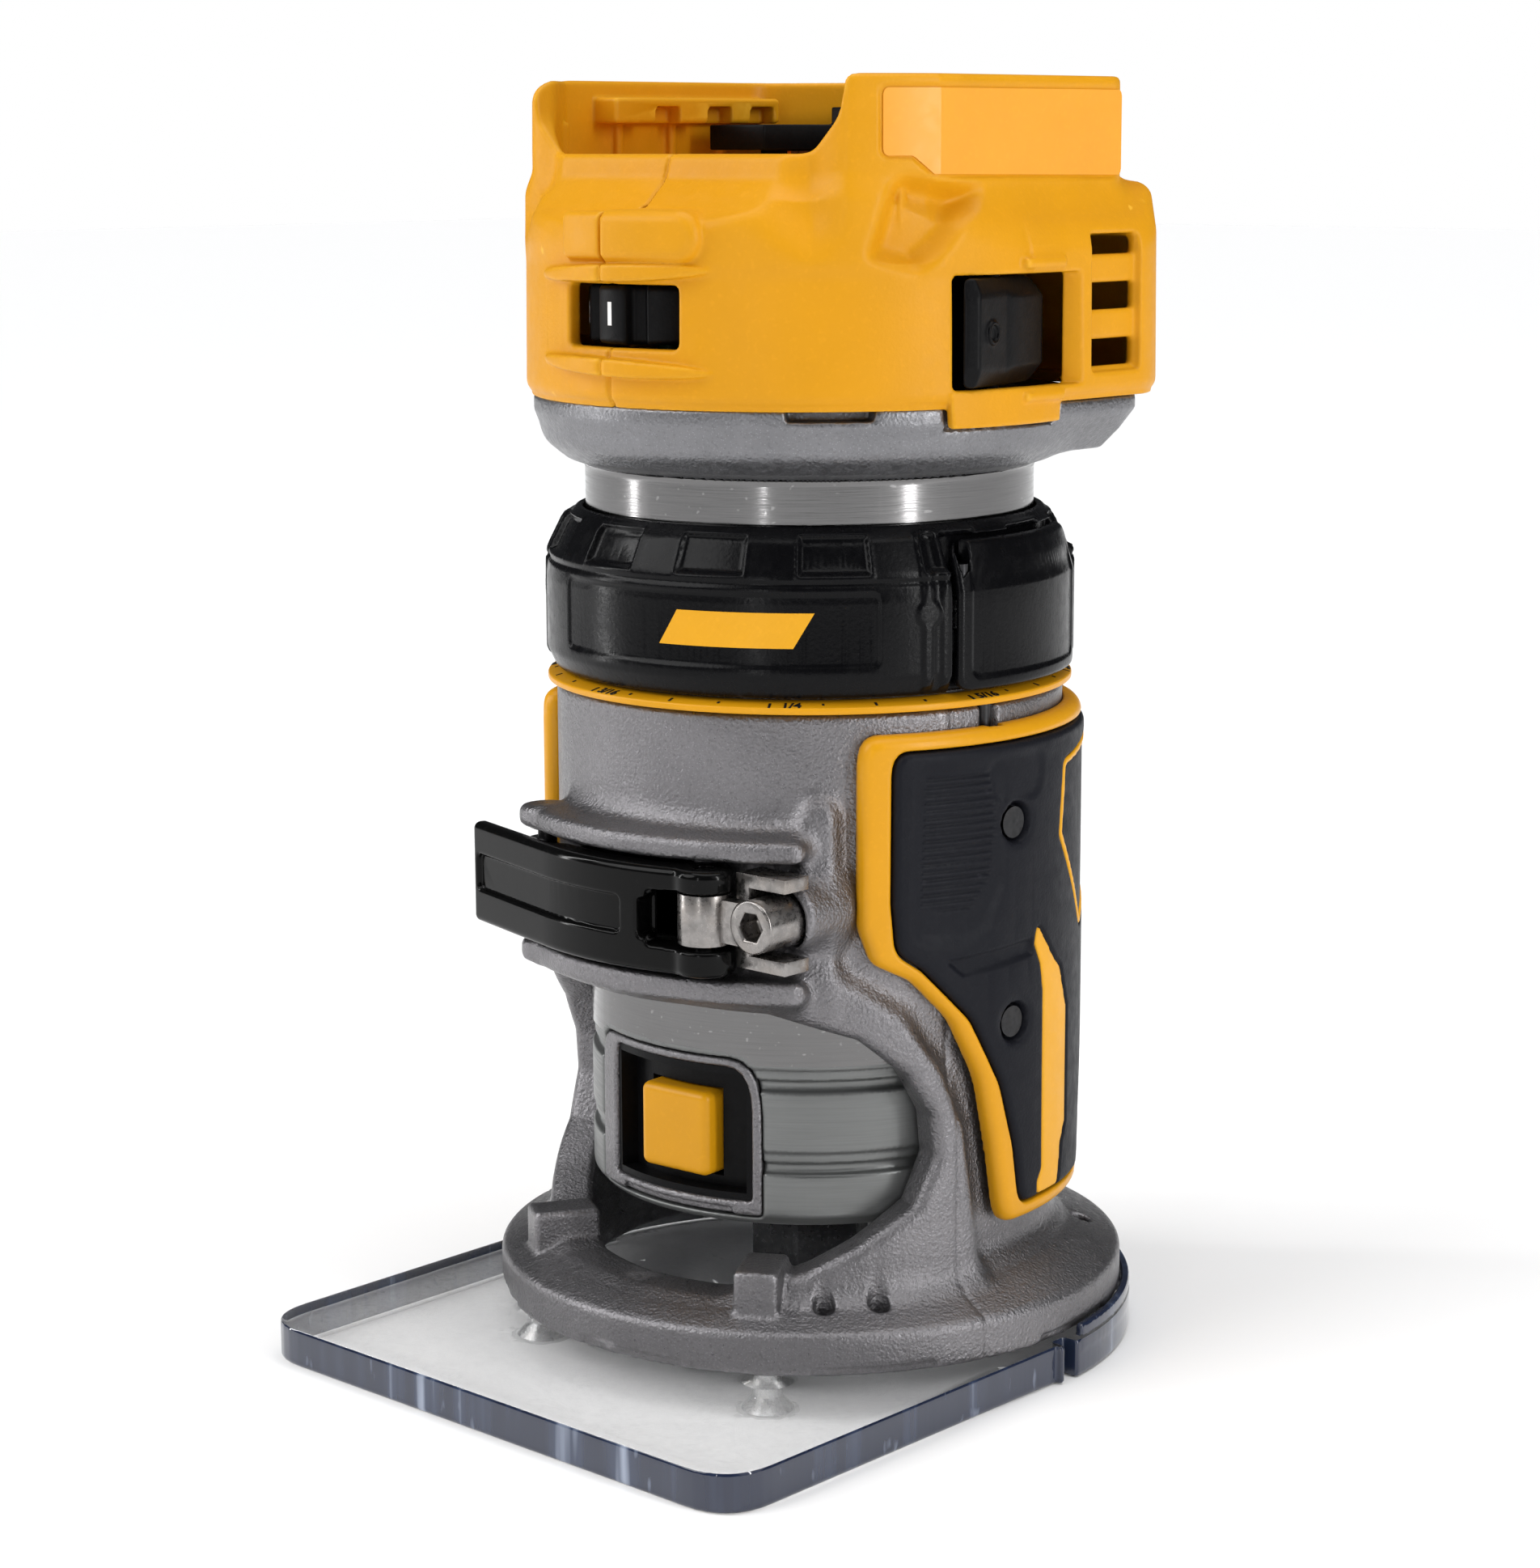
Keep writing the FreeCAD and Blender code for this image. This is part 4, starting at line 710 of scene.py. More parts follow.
def clamp_lever():
    p = Space((-39.5, -51.0, 65.0), (24.0, -33.0, 85.2), 0.3)
    across, out = p.turned(-15)
    # the tail runs straight off the arc, tangent to it
    tail = inside(across, 3.0)
    outer = tail * (out - 48.6) + (1 - tail) * (p.r - 48.6)
    inner = tail * (45.9 - out) + (1 - tail) * (43.6 - p.r)
    pivot = np.hypot(p.x - LEVER_PIVOT[0], p.y - LEVER_PIVOT[1])
    bar = meet(meet(outer, inner), np.maximum(-22.5 - across, np.radians(p.a - 22) * p.r), 1.0)
    d = meet(join(bar, pivot - 4.6, 0.5), slab(p.z, 67.1, 83.1), 1.1)
    along = tail * across + (1 - tail) * np.radians(p.a + 15) * 48.6
    panel = meet(meet(slab(along, -20.9, 17.9), slab(p.z, 72.5, 78.1), 0.9), -(outer + 0.75))
    d = cut(d, panel, 0.45)
    narrow = meet(meet(slab(along, 21.2, 30), slab(p.z, 72.2, 78.2), 0.9), -(outer + 4.2))
    d = cut(d, narrow, 0.4)
    wide = meet(meet(slab(along, 25.4, 60), slab(p.z, 71.2, 79.6), 0.9), -(outer + 3.4))
    d = cut(d, wide, 0.4)
    d = cut(d, meet(pivot - 8.9, slab(p.z, 71.2, 79.6), 0.8), 0.4)
    d = cut(d, pivot - 1.6)
    return solid("clamp_lever_moulding", p, d, 0.4)


# ---- depth ring -----------------------------------------------------------------------------------

TAB_CENTRES = (99.5, 279.5)


def off_tab(angle, centre):
    return np.abs((angle - centre + 180) % 360 - 180)


def depth_ring():
    p = Space((-42.6, -42.6, 106.5), (42.6, 42.6, 133.4), 0.34)
    profile = rounded([(37.3, 107.4), (39.7, 107.4), (41.1, 110.4), (41.1, 121.5), (40.6, 125.4),
                       (38.2, 130.2), (36.2, 132.3), (35.25, 132.3), (35.25, 112.5), (37.3, 112.5)],
                      [0, 0.8, 1.5, 2, 5, 4, 0.6, 0.2, 0, 0])
    d = spun(p, profile)
    scale = math.radians(1) * 41

    def carving(s, z):
        """Depth cut into the outside of the ring."""
        angle = s / scale
        depth = np.zeros(np.broadcast(s, z).shape, np.float32)
        pitch = (angle - 20.3 + 13.45) % 26.9 - 13.45
        grip = np.maximum((np.abs(pitch) - 7.6) * scale, np.maximum(125.6 - z, z - 131.0))
        depth += 0.75 * inside(grip, 0.6)
        depth -= 0.3 * inside(np.abs(grip) - 0.35, 0.5)
        depth += 0.35 * inside(np.abs(z - 124.3) - 0.3, 0.6)
        badge = rounded([(-21.0 * scale, 112.2), (56.4 * scale, 112.2), (56.4 * scale, 122.9),
                         (-21.0 * scale, 122.9)], 1.2)
        for turn in (0, 180, -180):
            depth += 0.4 * inside(outline(s - turn * scale, z, badge), 0.5)
        for centre in TAB_CENTRES:
            near = off_tab(angle, centre)
            for rib in (28.2, 32.5):
                ridge = (np.abs(near - rib) - 0.95) * scale
                ridge = np.maximum(ridge, np.maximum(108.5 - z, z - 131))
                depth -= 0.55 * inside(ridge, 0.9)
            stop = np.hypot((near - 32.3) * scale, z - 119.6)
            depth -= 1.0 * inside(stop - 1.7, 0.8) - 0.9 * inside(stop - 0.75, 0.3)
        return depth

    d = d + looked_up(p, p.a * scale, carving) * inside(36.9 - p.r, 0.6)
    for centre in TAB_CENTRES:
        bed = meet(wedge(p, centre, 26.6), 38.4 - p.r)
        d = cut(d, bed, 0.3)
        deep = meet(meet(wedge(p, centre, 26.6), 36.5 - p.r), slab(p.z, 113.6, 130.4))
        d = cut(d, deep, 0.3)
        ear = meet(meet(slab(p.r, 36.2, 39.9), wedge(p, centre - 23.5, 2.5)), slab(p.z, 113.2, 116.7), 0.3)
        d = join(d, ear)
    d = meet(d, p.r - 41.35)
    return solid("depth_ring_collar", p, d, 0.3)


def release_tab(name, centre):
    reach = np.array([19.5, 19.5])
    middle = np.array(around(40, centre)) * 0.88
    p = Space((*(middle - reach), 106.8), (*(middle + reach), 133.0), 0.32)
    along = np.radians((p.a - centre + 180) % 360 - 180) * 41.0
    face = looked_up(p, along, lambda s, z: outline(s, z, rounded(
        [(-18.2, 107.5), (18.2, 107.5), (18.2, 129.9), (-18.2, 129.9)], [2.5, 2.5, 3, 3])))
    lean = 41.35 - 0.28 * np.maximum(p.z - 122.5, 0)
    d = meet(face, p.r - lean, 0.9)
    inner = np.where(p.z < 113.8, 39.7, 38.75 - 0.1 * np.maximum(p.z - 122.5, 0))
    d = meet(d, inner - p.r)
    panel = looked_up(p, along, lambda s, z: outline(s, z, rounded(
        [(-15.6, 109.6), (15.6, 109.6), (15.6, 128.6), (-15.6, 128.6)], 1.8)))
    d = d + 0.32 * inside(panel, 0.6) * inside(40.4 - p.r, 0.4)
    start, stop = centre - 26, centre - 20.4
    notch = meet(wedge(p, (start + stop) / 2, (stop - start) / 2), slab(p.z, 112.6, 121.8))
    d = cut(d, meet(notch, p.r - 40.3), 0.2)
    d = cut(d, column(p, 1.15, 100, 140, *around(39.4, centre - 23)))
    return solid(name, p, d, 0.4)


def scale_ring():
    """A coned ring, turned as a mesh so that its edges stay crisp."""
    profile = rounded([(37.4, 105.25), (41.1, 105.25), (41.1, 106.25), (38.2, 107.02), (37.4, 107.02)],
                      [0, 0.3, 0.4, 0.2, 0])
    return lathe("scale_ring_moulding", profile)


def lathe(name, profile, segments=192):
    points, faces = [], []
    count = len(profile)
    for i in range(segments):
        angle = 2 * math.pi * i / segments
        points += [(r * math.sin(angle) * MM, -r * math.cos(angle) * MM, z * MM) for r, z in profile]
        for k in range(count):
            a, b = i * count + k, i * count + (k + 1) % count
            c, d = (i + 1) % segments * count + k, (i + 1) % segments * count + (k + 1) % count
            faces.append((a, c, d, b))
    mesh = bpy.data.meshes.new(name)
    mesh.from_pydata(points, [], faces)
    faced_outward(mesh)
    mesh.polygons.foreach_set("use_smooth", [True] * len(mesh.polygons))
    mesh.set_sharp_from_angle(angle=math.radians(35))
    return linked(name, mesh)


# ---- motor unit -----------------------------------------------------------------------------------

def plan(p, side, corner_y, back_x, back, front, soft=3.0):
    """The rounded front and chamfered rear of the top housing, seen from above."""
    dx, dy = back - corner_y, side - back_x
    length = math.hypot(dx, dy)
    chamfer = (dx * np.abs(p.x) + dy * p.y - (dx * side + dy * corner_y)) / length
    rear = meet(meet(np.abs(p.x) - side, chamfer, soft), p.y - back, soft)
    return np.where(p.y < 0, np.maximum(p.r - front, np.abs(p.x) - side), rear)


# Radius and height of the shallow step and deep groove of each pair round the tube.
TUBE_GROOVES = [(34.9, 33.6), (33.8, 33.8), (33.8, 35.2), (34.5, 35.3), (34.5, 36.9), (34.9, 37.0),
                (34.9, 46.5), (33.8, 46.7), (33.8, 48.1), (34.5, 48.2), (34.5, 49.8), (34.9, 49.9)]


def motor_housing():
    p = Space((-43.6, -43.6, 24.5), (43.6, 44.6, 150.0), 0.46)
    tube = rounded([(32.4, 25.3), (33.5, 25.3), (34.9, 26.9)] + TUBE_GROOVES +
                   [(34.9, 138.9), (37.8, 139.9), (41.2, 142.6), (42.2, 146.4), (42.2, 149.3), (36, 149.3),
                    (36, 145.5), (32.4, 142)],
                   [0, 0.5, 1.0] + [0.15] * len(TUBE_GROOVES) + [0.8, 2.0, 4.5, 1.5, 0.3, 0, 0, 0])
    d = spun(p, tube)
    rear = plan(p, 42.6, 28, 28, 42.5, 42.2) + np.maximum(147.2 - p.z, 0) * 0.9
    rear = meet(meet(rear, slab(p.z, 141, 149.3), 0.4), 36 - p.r)
    d = join(d, rear, 1.5)
    window = rounded([(-27.2, 26.5), (29.8, 26.5), (29.8, 51.4), (-27.2, 51.4)], [1, 1, 9, 6])
    d = cut(d, meet(wrapped(p, 34.9, 0, window), 30 - p.r), 0.3)
    slot = rounded([(37.5, 147.9), (54.5, 147.9), (55.2, 150.2), (36.8, 150.2)], 0.2)
    d = cut(d, meet(wrapped(p, 42.2, 0, slot), 39 - p.r), 0.2)
    tab = rounded([(69.5, 146.2), (100.5, 146.2), (101.5, 150.2), (69.0, 150.2)], 0.5)
    d = cut(d, meet(wrapped(p, 44, 0, tab), 41.8 - p.r), 0.2)
    return solid("motor_housing_tube", p, d, 0.13)


def lock_frame():
    p = Space((-17.0, -36.0, 25.8), (18.6, -27.0, 52.4), 0.25)
    face = wrapped(p, 34.8, 0, rounded([(-27.0, 26.8), (29.6, 26.8), (29.6, 51.2), (-27.0, 51.2)],
                                       [1, 1, 9, 6]))
    room = wrapped(p, 34.8, 0, rounded([(-19.0, 29.0), (27.0, 29.0), (27.0, 49.9), (-19.0, 49.9)],
                                       [0.8, 0.8, 7, 3]))
    d = meet(face, slab(p.r, 31.2, 34.85), 0.5)
    d = cut(d, room, 0.6)
    lip = wrapped(p, 34.8, 0, rounded([(-17, 25.0), (24, 25.0), (21.0, 27.9), (-14.0, 27.9)], 0.6))
    return solid("spindle_lock_surround", p, cut(d, meet(lip, 34.1 - p.r), 0.4), 0.4)


def lock_button():
    p = Space((-6.5, -35.5, 30.5), (11.0, -15.0, 46.5), 0.26)
    across, out = p.turned(4)
    cap = block(across, out, p.z, (-6.6, 27.0, 32.0), (6.6, 34.4, 45.2), 1.3)
    stem = meet(np.hypot(across, p.z - 38.6) - 1.9, slab(out, 16, 28))
    return solid("spindle_lock_cap", p, join(cap, stem, 0.3), 0.4)


# ---- top housing ----------------------------------------------------------------------------------

BODY_ARC = math.radians(1) * 43.7
# The bay's outside wall: a front arc, and the angle and y where it meets the flat side.
TOWER_R = 42.5
TOWER_SIDE = 39.5
ARC_END_ANGLE = 68.3
ARC_END_Y = -15.7
FRONT_WALL = [(-70, 174.4), (-43.7, 174.4), (-40.6, 176.4), (-35.8, 178.2), (-31.6, 182.2), (-30.4, 186.6),
              (-30.4, 210), (-70, 210)]
SIDE_SCOOP = [(51.3, 170.6), (57.5, 169.2), (63.5, 168.4), (69.3, 171.6), (73.4, 175.2), (78.5, 177.6),
              (83, 181.2), (71, 182.2), (61, 183.2), (57, 182.2), (55.3, 179.7), (53.4, 175)]
SWITCH_WELL = [(-14.6, 60), (-14.6, 30), (8.6, 30), (8.6, 40.2), (13.0, 44.6), (13.0, 60)]
# Height against distance round the tower's wall, counted from the front end of its flat side.
LABEL = [(-8.9, 195.0), (-8.9, 185.6), (-4.2, 185.4), (-1.0, 182.9), (42.6, 182.4), (42.6, 195.0)]


def side_scoops(s, z):
    """Depth of the hollows beside each front corner of the battery bay."""
    angle = s / BODY_ARC
    rise = np.clip((angle - 25) / 14, 0, 1)
    fall = np.clip((50.0 - angle) / 8.5, 0, 1)
    edge = np.interp(angle, [19, 33.5, 42.2, 50.8], [174.3, 173.0, 169.8, 171.0])
    depth = 4.0 * rise * rise * (3 - 2 * rise) * fall * fall * (3 - 2 * fall) * inside(edge + 4.5 - z, 9.0)
    hollow = outline(s, z, rounded([(a * BODY_ARC, b) for a, b in SIDE_SCOOP], 3.0))
    ease = np.clip(-hollow / 3.4, 0, 1)
    return depth + 4.8 * ease * ease * (3 - 2 * ease)


def tower_arc(p):
    """Distance round the bay's outside wall: round a front arc, then straight back."""
    arc = (p.a - ARC_END_ANGLE) * math.radians(1) * TOWER_R
    return np.where(p.y < ARC_END_Y, arc + 0 * p.z, p.y - ARC_END_Y + 0 * p.x + 0 * p.z)


def shell(name, hand):
    low_x, high_x = (-2.0, 44.8) if hand > 0 else (-44.8, 2.0)
    p = Space((low_x, -46.2, 145.6), (high_x, 46.3, 197.8), 0.4)
    z = p.z
    body = plan(p, 44.0, 31, 31, 45.5, 43.7) + np.maximum(z - 151, 0) * 0.012
    foot = np.maximum(151.2 - z, 0)
    d = meet(body + foot * foot * 0.12, slab(z, 149.35, 181.5), 2.4)
    upper = plan(p, 39.5, 27, 25, 42.0, 42.6, 2.0) + np.maximum(z - 186, 0) * 0.015
    upper = meet(upper, slab(z, 170, 197), 0.9 if hand > 0 else 3.6)
    shoulder = (z - 176.5) * 0.72 + (np.abs(p.x) - 41.5) * 0.69
    shoulder = np.where(p.y > 26, np.maximum(shoulder, (z - 176.5) * 0.72 + (p.y - 44.0) * 0.69), shoulder)
    d = meet(d, shoulder, 2.2)
    d = join(d, upper, 2.6)
    d = d + looked_up(p, p.side * BODY_ARC, side_scoops, blur=3) * inside(33.5 - p.r, 2.0)
    front = outline(p.y, z, rounded(FRONT_WALL, [0, 0, 3, 6, 3, 1.2, 0, 0]))
    d = cut(d, front, 1.6)
    backing = np.where((z > 158) & (z < 191), d + 1.5, -9.0)
    hollow = plan(p, 41.4, 30, 30, 42.9, 41.0)
    room = np.maximum(hollow, backing)
    d = cut(d, meet(room, slab(z, 140, 173.3), 1.0))
    # a skirt inside the foot keeps light from showing under the rear wall
    d = join(d, meet(meet(body + 0.8, -2.0 - hollow), slab(z, 149.4, 151.2)))
    bay = np.maximum(meet(plan(p, 34.6, 26, 22, 38.4, 39.0, 1.5), -27.6 - p.y, 3.5), backing)
    d = cut(d, meet(bay, 176 - z, 1.2), 0.8)
    mouth = rounded([(-34, 210), (-31.8, 198), (-30.6, 191), (-25.6, 185.8), (25.6, 185.8), (30.6, 191),
                     (31.8, 198), (34, 210)], [0, 3, 5, 4, 4, 5, 3, 0])
    d = cut(d, meet(outline(p.x, z, mouth), p.y), 0.9)
    rail = block(np.abs(p.x), p.y, z, (29.6, -12, 190.4), (35.4, 26, 194.4), 0.5)
    for start in (-3, 9, 19):
        rail = cut(rail, block(np.abs(p.x), p.y, z, (28, start, 189), (32.6, start + 5.5, 193.0), 0.3))
    d = join(d, rail, 0.3)
    for start in (-20, -8, 4, 16, 28):
        post = block(np.abs(p.x), p.y, z, (33.4, start, 176), (35.4, start + 1.6, 190.6), 0.3)
        d = join(d, post)
    # ribs and bosses round the speed dial window
    along = p.a * math.radians(1) * 43.7
    for rib_z, lean in ((168.9, -0.025), (155.4, 0.025)):
        width = np.sqrt(np.clip(1 - ((p.a - 0.5) / 23.6) ** 2, 0, None))
        ridge = meet(np.abs(z - rib_z + lean * p.a) - 1.3 * width, p.r - 43.2 - 2.5 * width, 0.4)
        d = join(d, meet(ridge, slab(p.r, 41.5, 46)), 0.3)
    reach = np.hypot(slab(along, -40, 12.8).clip(0), z - 174.2)
    capsule = meet(reach - 3.8, p.r - 45.7, 2.0)
    band = meet(meet(np.abs(z - 174.2) - 3.5, p.r - 44.9, 1.2), -9.2 - along, 0.8)
    capsule = np.where(along < 0, band, capsule)
    capsule = meet(capsule, 33.5 - p.r)
    d = join(d, meet(capsule, -40 - along), 0.5)
    if hand < 0:
        d = cut(d, meet(slab(p.x, -0.7, 3), meet(slab(z, 170.3, 178), 34 - p.r)))
    window = rounded([(-9.3, 158.1), (12.1, 158.1), (12.1, 167.3), (-9.3, 167.3)], 1.1)
    d = cut(d, meet(outline(p.x, z, window), p.y + 30), 0.7)
    if hand > 0:
        switch = meet(outline(p.y, p.x, SWITCH_WELL), slab(z, 152.0, 168.5), 0.7)
        d = cut(d, switch, 0.35)
        for ledge_z in (170.0, 150.6):
            ledge = block(p.y, z, p.x, (-2, ledge_z - 0.8, 42), (7.5, ledge_z + 0.8, 44.6), 0.7)
            d = join(d, ledge, 0.8)
        tab = rounded([(70, 146.6), (100, 146.6), (100.8, 152), (69.4, 152)], 0.5)
        tongue = meet(meet(wrapped(p, 44, 0, tab), slab(p.r, 42.3, 44.0), 0.4), np.abs(p.x) - 43.9)
        d = join(d, tongue, 0.2)
        label = looked_up(p, tower_arc(p), lambda s, z: outline(s, z, rounded(LABEL, 0.9)) - 0.5)
        skin = np.where(p.y < ARC_END_Y, 42.15 - p.r, 39.15 - p.x)
        d = cut(d, meet(meet(label, skin), 30 - p.x), 0.1)
    vents = block(p.y, z, np.abs(p.x), (14.6, 153.4, 42.7), (26.4, 174.2, 60), 0.8)
    d = cut(d, vents, 0.5)
    for low, high in ((170.8, 173.8), (162.6, 166.6), (154.2, 158.2)):
        slit = block(p.y, z, np.abs(p.x), (15, low, 36), (26, high, 60), 0.6)
        d = cut(d, slit, 0.5)
    if hand < 0:
        for y, bore_z in ((36, 157), (36, 166), (-20, 154)):
            reach = np.hypot(p.y - y, z - bore_z)
            boss = meet(reach - 4.0, slab(p.x, -43, 0.6))
            d = join(d, meet(boss, body))
            d = cut(d, meet(reach - 3.3, p.x + 36.05), 0.4)
    groove = meet(np.abs(p.x) - 0.3, -(d + 0.35))
    d = cut(d, groove, 0.1)
    return solid(name, p, d, 0.24, trim=(0.04 * hand, hand))


# ---- lettering and marks --------------------------------------------------------------------------

def lettering(name, words, size, place, depth=0.05, bold=0.0):
    """Generic lettering, bent by place(right, up) -> point and outward direction, in millimetres."""
    curve = bpy.data.curves.new(name, "FONT")
    curve.body = words
    curve.size = size
    curve.align_x = "CENTER"
    curve.align_y = "CENTER"
    curve.extrude = depth
    curve.offset = bold
    curve.resolution_u = 4
    temporary = linked(name + "_text", curve)
    mesh = bpy.data.meshes.new_from_object(temporary.evaluated_get(bpy.context.evaluated_depsgraph_get()))
    bpy.data.objects.remove(temporary)
    bend(mesh, place)
    return mesh


def bend(mesh, place):
    for vertex in mesh.vertices:
        point, outward = place(vertex.co.x, vertex.co.y)
        vertex.co = (Vector(point) + Vector(outward) * vertex.co.z) * MM


def merged(name, meshes):
    """One object from several meshes."""
    form = bmesh.new()
    for mesh in meshes:
        form.from_mesh(mesh)
        bpy.data.meshes.remove(mesh)
    mesh = bpy.data.meshes.new(name)
    form.to_mesh(mesh)
    form.free()
    return linked(name, mesh)


def on_cylinder(radius, angle, z):
    """Places flat lettering on a wall, centred at an angle and a height."""
    def place(right, up):
        turn = math.radians(angle) + right / radius
        outward = (math.sin(turn), -math.cos(turn), 0)
        return (radius * math.sin(turn), -radius * math.cos(turn), z + up), outward
    return place


def bar_mesh(width, height, depth=0.05, cuts=1):
    """A flat bar to be bent into place."""
    form = bmesh.new()
    bmesh.ops.create_grid(form, x_segments=cuts, y_segments=1, size=0.5)
    bmesh.ops.scale(form, vec=(width, height, 1), verts=form.verts)
    result = bmesh.ops.extrude_face_region(form, geom=form.faces[:])
    lifted = [item for item in result["geom"] if isinstance(item, bmesh.types.BMVert)]
    bmesh.ops.translate(form, vec=(0, 0, depth), verts=lifted)
    bmesh.ops.translate(form, vec=(0, 0, -depth / 2), verts=form.verts)
    bmesh.ops.recalc_face_normals(form, faces=form.faces)
    mesh = bpy.data.meshes.new("bar")
    form.to_mesh(mesh)
    form.free()
    return mesh


def label_sheet():
    """A thin blank label that follows the bay's right wall."""
    def edge(s):
        """Lowest and highest point of the label at a distance along the wall."""
        low = 185.5 if s < -4.2 else 185.4 - (s + 4.2) * 0.78 if s < -1.0 else 182.9 - (s + 1) * 0.0115
        end = max(0.0, 0.9 - min(s + 8.9, 42.6 - s))
        pinch = 0.9 - math.sqrt(max(0.81 - end * end, 0.0))
        return low + pinch, 195.0 - pinch
    steps = [-8.9 + k * 0.15 for k in range(6)] + [-8.0 + k * 0.5 for k in range(100)]
    steps += [42.6 - k * 0.15 for k in range(5, -1, -1)]
    rows = []
    for s in steps:
        if s < 0:
            turn = math.radians(ARC_END_ANGLE) + s / TOWER_R
            outward = (math.sin(turn), -math.cos(turn))
            spot = (TOWER_R * outward[0], TOWER_R * outward[1])
        else:
            spot, outward = (TOWER_SIDE, s + ARC_END_Y), (1.0, 0.0)
        rows.append([((spot[0] + outward[0] * lift) * MM, (spot[1] + outward[1] * lift) * MM, z * MM)
                     for lift, z in zip((-0.4, -0.4, -0.12, -0.12), edge(s) + edge(s)[::-1])])
    points = [point for row in rows for point in row]
    faces = [(4 * i + k, 4 * i + (k + 1) % 4, 4 * i + 4 + (k + 1) % 4, 4 * i + 4 + k)
             for i in range(len(rows) - 1) for k in range(4)]
    faces += [(3, 2, 1, 0), tuple(4 * (len(rows) - 1) + k for k in range(4))]
    mesh = bpy.data.meshes.new("blank_label_sheet")
    mesh.from_pydata(points, [], faces)
    faced_outward(mesh)
    return linked("blank_label_sheet", mesh)


FRACTIONS = ["1/4", "5/16", "3/8", "7/16", "0", "1/16", "1/8", "3/16"]


def scale_marks():
    meshes = []
    for i in range(32):
        angle = 33.5 + 11.25 * i
        long = 1.5 if i % 4 == 0 else 1.05 if i % 2 == 0 else 0.6
        mark = bar_mesh(0.36, long, 0.1)
        bend(mark, on_cone(angle, 1.45 - long / 2))
        meshes.append(mark)
        if i % 4 == 0:
            words = lettering("fraction", FRACTIONS[i // 4], 2.3, on_cone(angle + 4.6, 0.75), 0.05, 0.06)
            meshes.append(words)
    return merged("scale_ring_marks", meshes)


def on_cone(angle, inwards):
    """Places a flat mark on the coned top of the scale ring."""
    def place(right, up):
        turn = math.radians(angle) + right / 40.0
        step = inwards + up
        r = 40.9 - step * 0.966
        z = 106.33 + step * 0.257
        outward = (0.257 * math.sin(turn), -0.257 * math.cos(turn), 0.966)
        return (r * math.sin(turn), -r * math.cos(turn), z), outward
    return place


DIAL_Y = -30.6


def speed_dial():
    """A knurled wheel whose grips leave room between them for the numbers 1 to 7."""
    p = Space((-13.2, -43.8, 157.6), (13.2, -17.4, 168.0), 0.24)
    x, y = p.x, p.y - DIAL_Y
    r = np.hypot(x, y)
    angle = np.degrees(np.arctan2(x, -y))
    wave = (angle + 4.0 + 22.5) % 45 - 22.5
    lobe = 12.0 - 1.6 * inside((15.0 - np.abs(wave)) * 0.21, 0.9)
    d = meet(r - lobe, slab(p.z, 158.5, 167.1), 0.9)
    d = cut(d, r - 2.1)
    return solid("speed_dial_wheel", p, d, 0.4)


def dial_numbers():
    meshes = []
    for i in range(7):
        wall = on_cylinder(11.98, -45 * i - 4.0, 162.8)

        def place(right, up, wall=wall):
            point, outward = wall(right, up)
            return Vector(point) + Vector((0, DIAL_Y, 0)), outward
        meshes.append(lettering("number", str(i + 1), 4.4, place, 0.05, 0.2))
    return merged("speed_dial_numbers", meshes)


ROCKER_X, ROCKER_Y = 39.5, -4.2


def power_rocker():
    p = Space((36.0, -15.5, 151.5), (45.5, 8.5, 169.2), 0.26)
    shape = rounded([(4.9, -9.8), (2.9, 0), (2.7, 11), (1.1, 10.9), (-2.6, 2.4), (-2.6, -2.4), (2.8, -9.8)],
                    [0.8, 1.5, 0.8, 0.4, 0.5, 0.5, 0.6])
    shape = outline(p.x - ROCKER_X, p.y - ROCKER_Y, shape)
    d = meet(shape, slab(p.z, 152.4, 168.1), 0.8)
    slope = np.maximum(np.abs(p.z - 160.2) - 5.0, 0) * 0.5 + np.maximum(-12.0 - p.y, 0) * 0.9
    d = meet(d, p.x - 44.3 + (p.y + 12.5) * 0.19 + slope, 0.3)
    u, v = p.y + 8.4, p.z - 160.2
    ring = np.abs(np.hypot(u, v) - 1.45) - 0.3
    face = p.x - 43.2 + (p.y + 8.4) * 0.2
    d = join(d, meet(ring, slab(face, -2, 0.55), 0.2), 0.15)
    d = cut(d, np.hypot(p.x - ROCKER_X, p.y - ROCKER_Y) - 1.3)
    return solid("power_rocker_cap", p, d, 0.4)


# ---- putting the router together ------------------------------------------------------------------

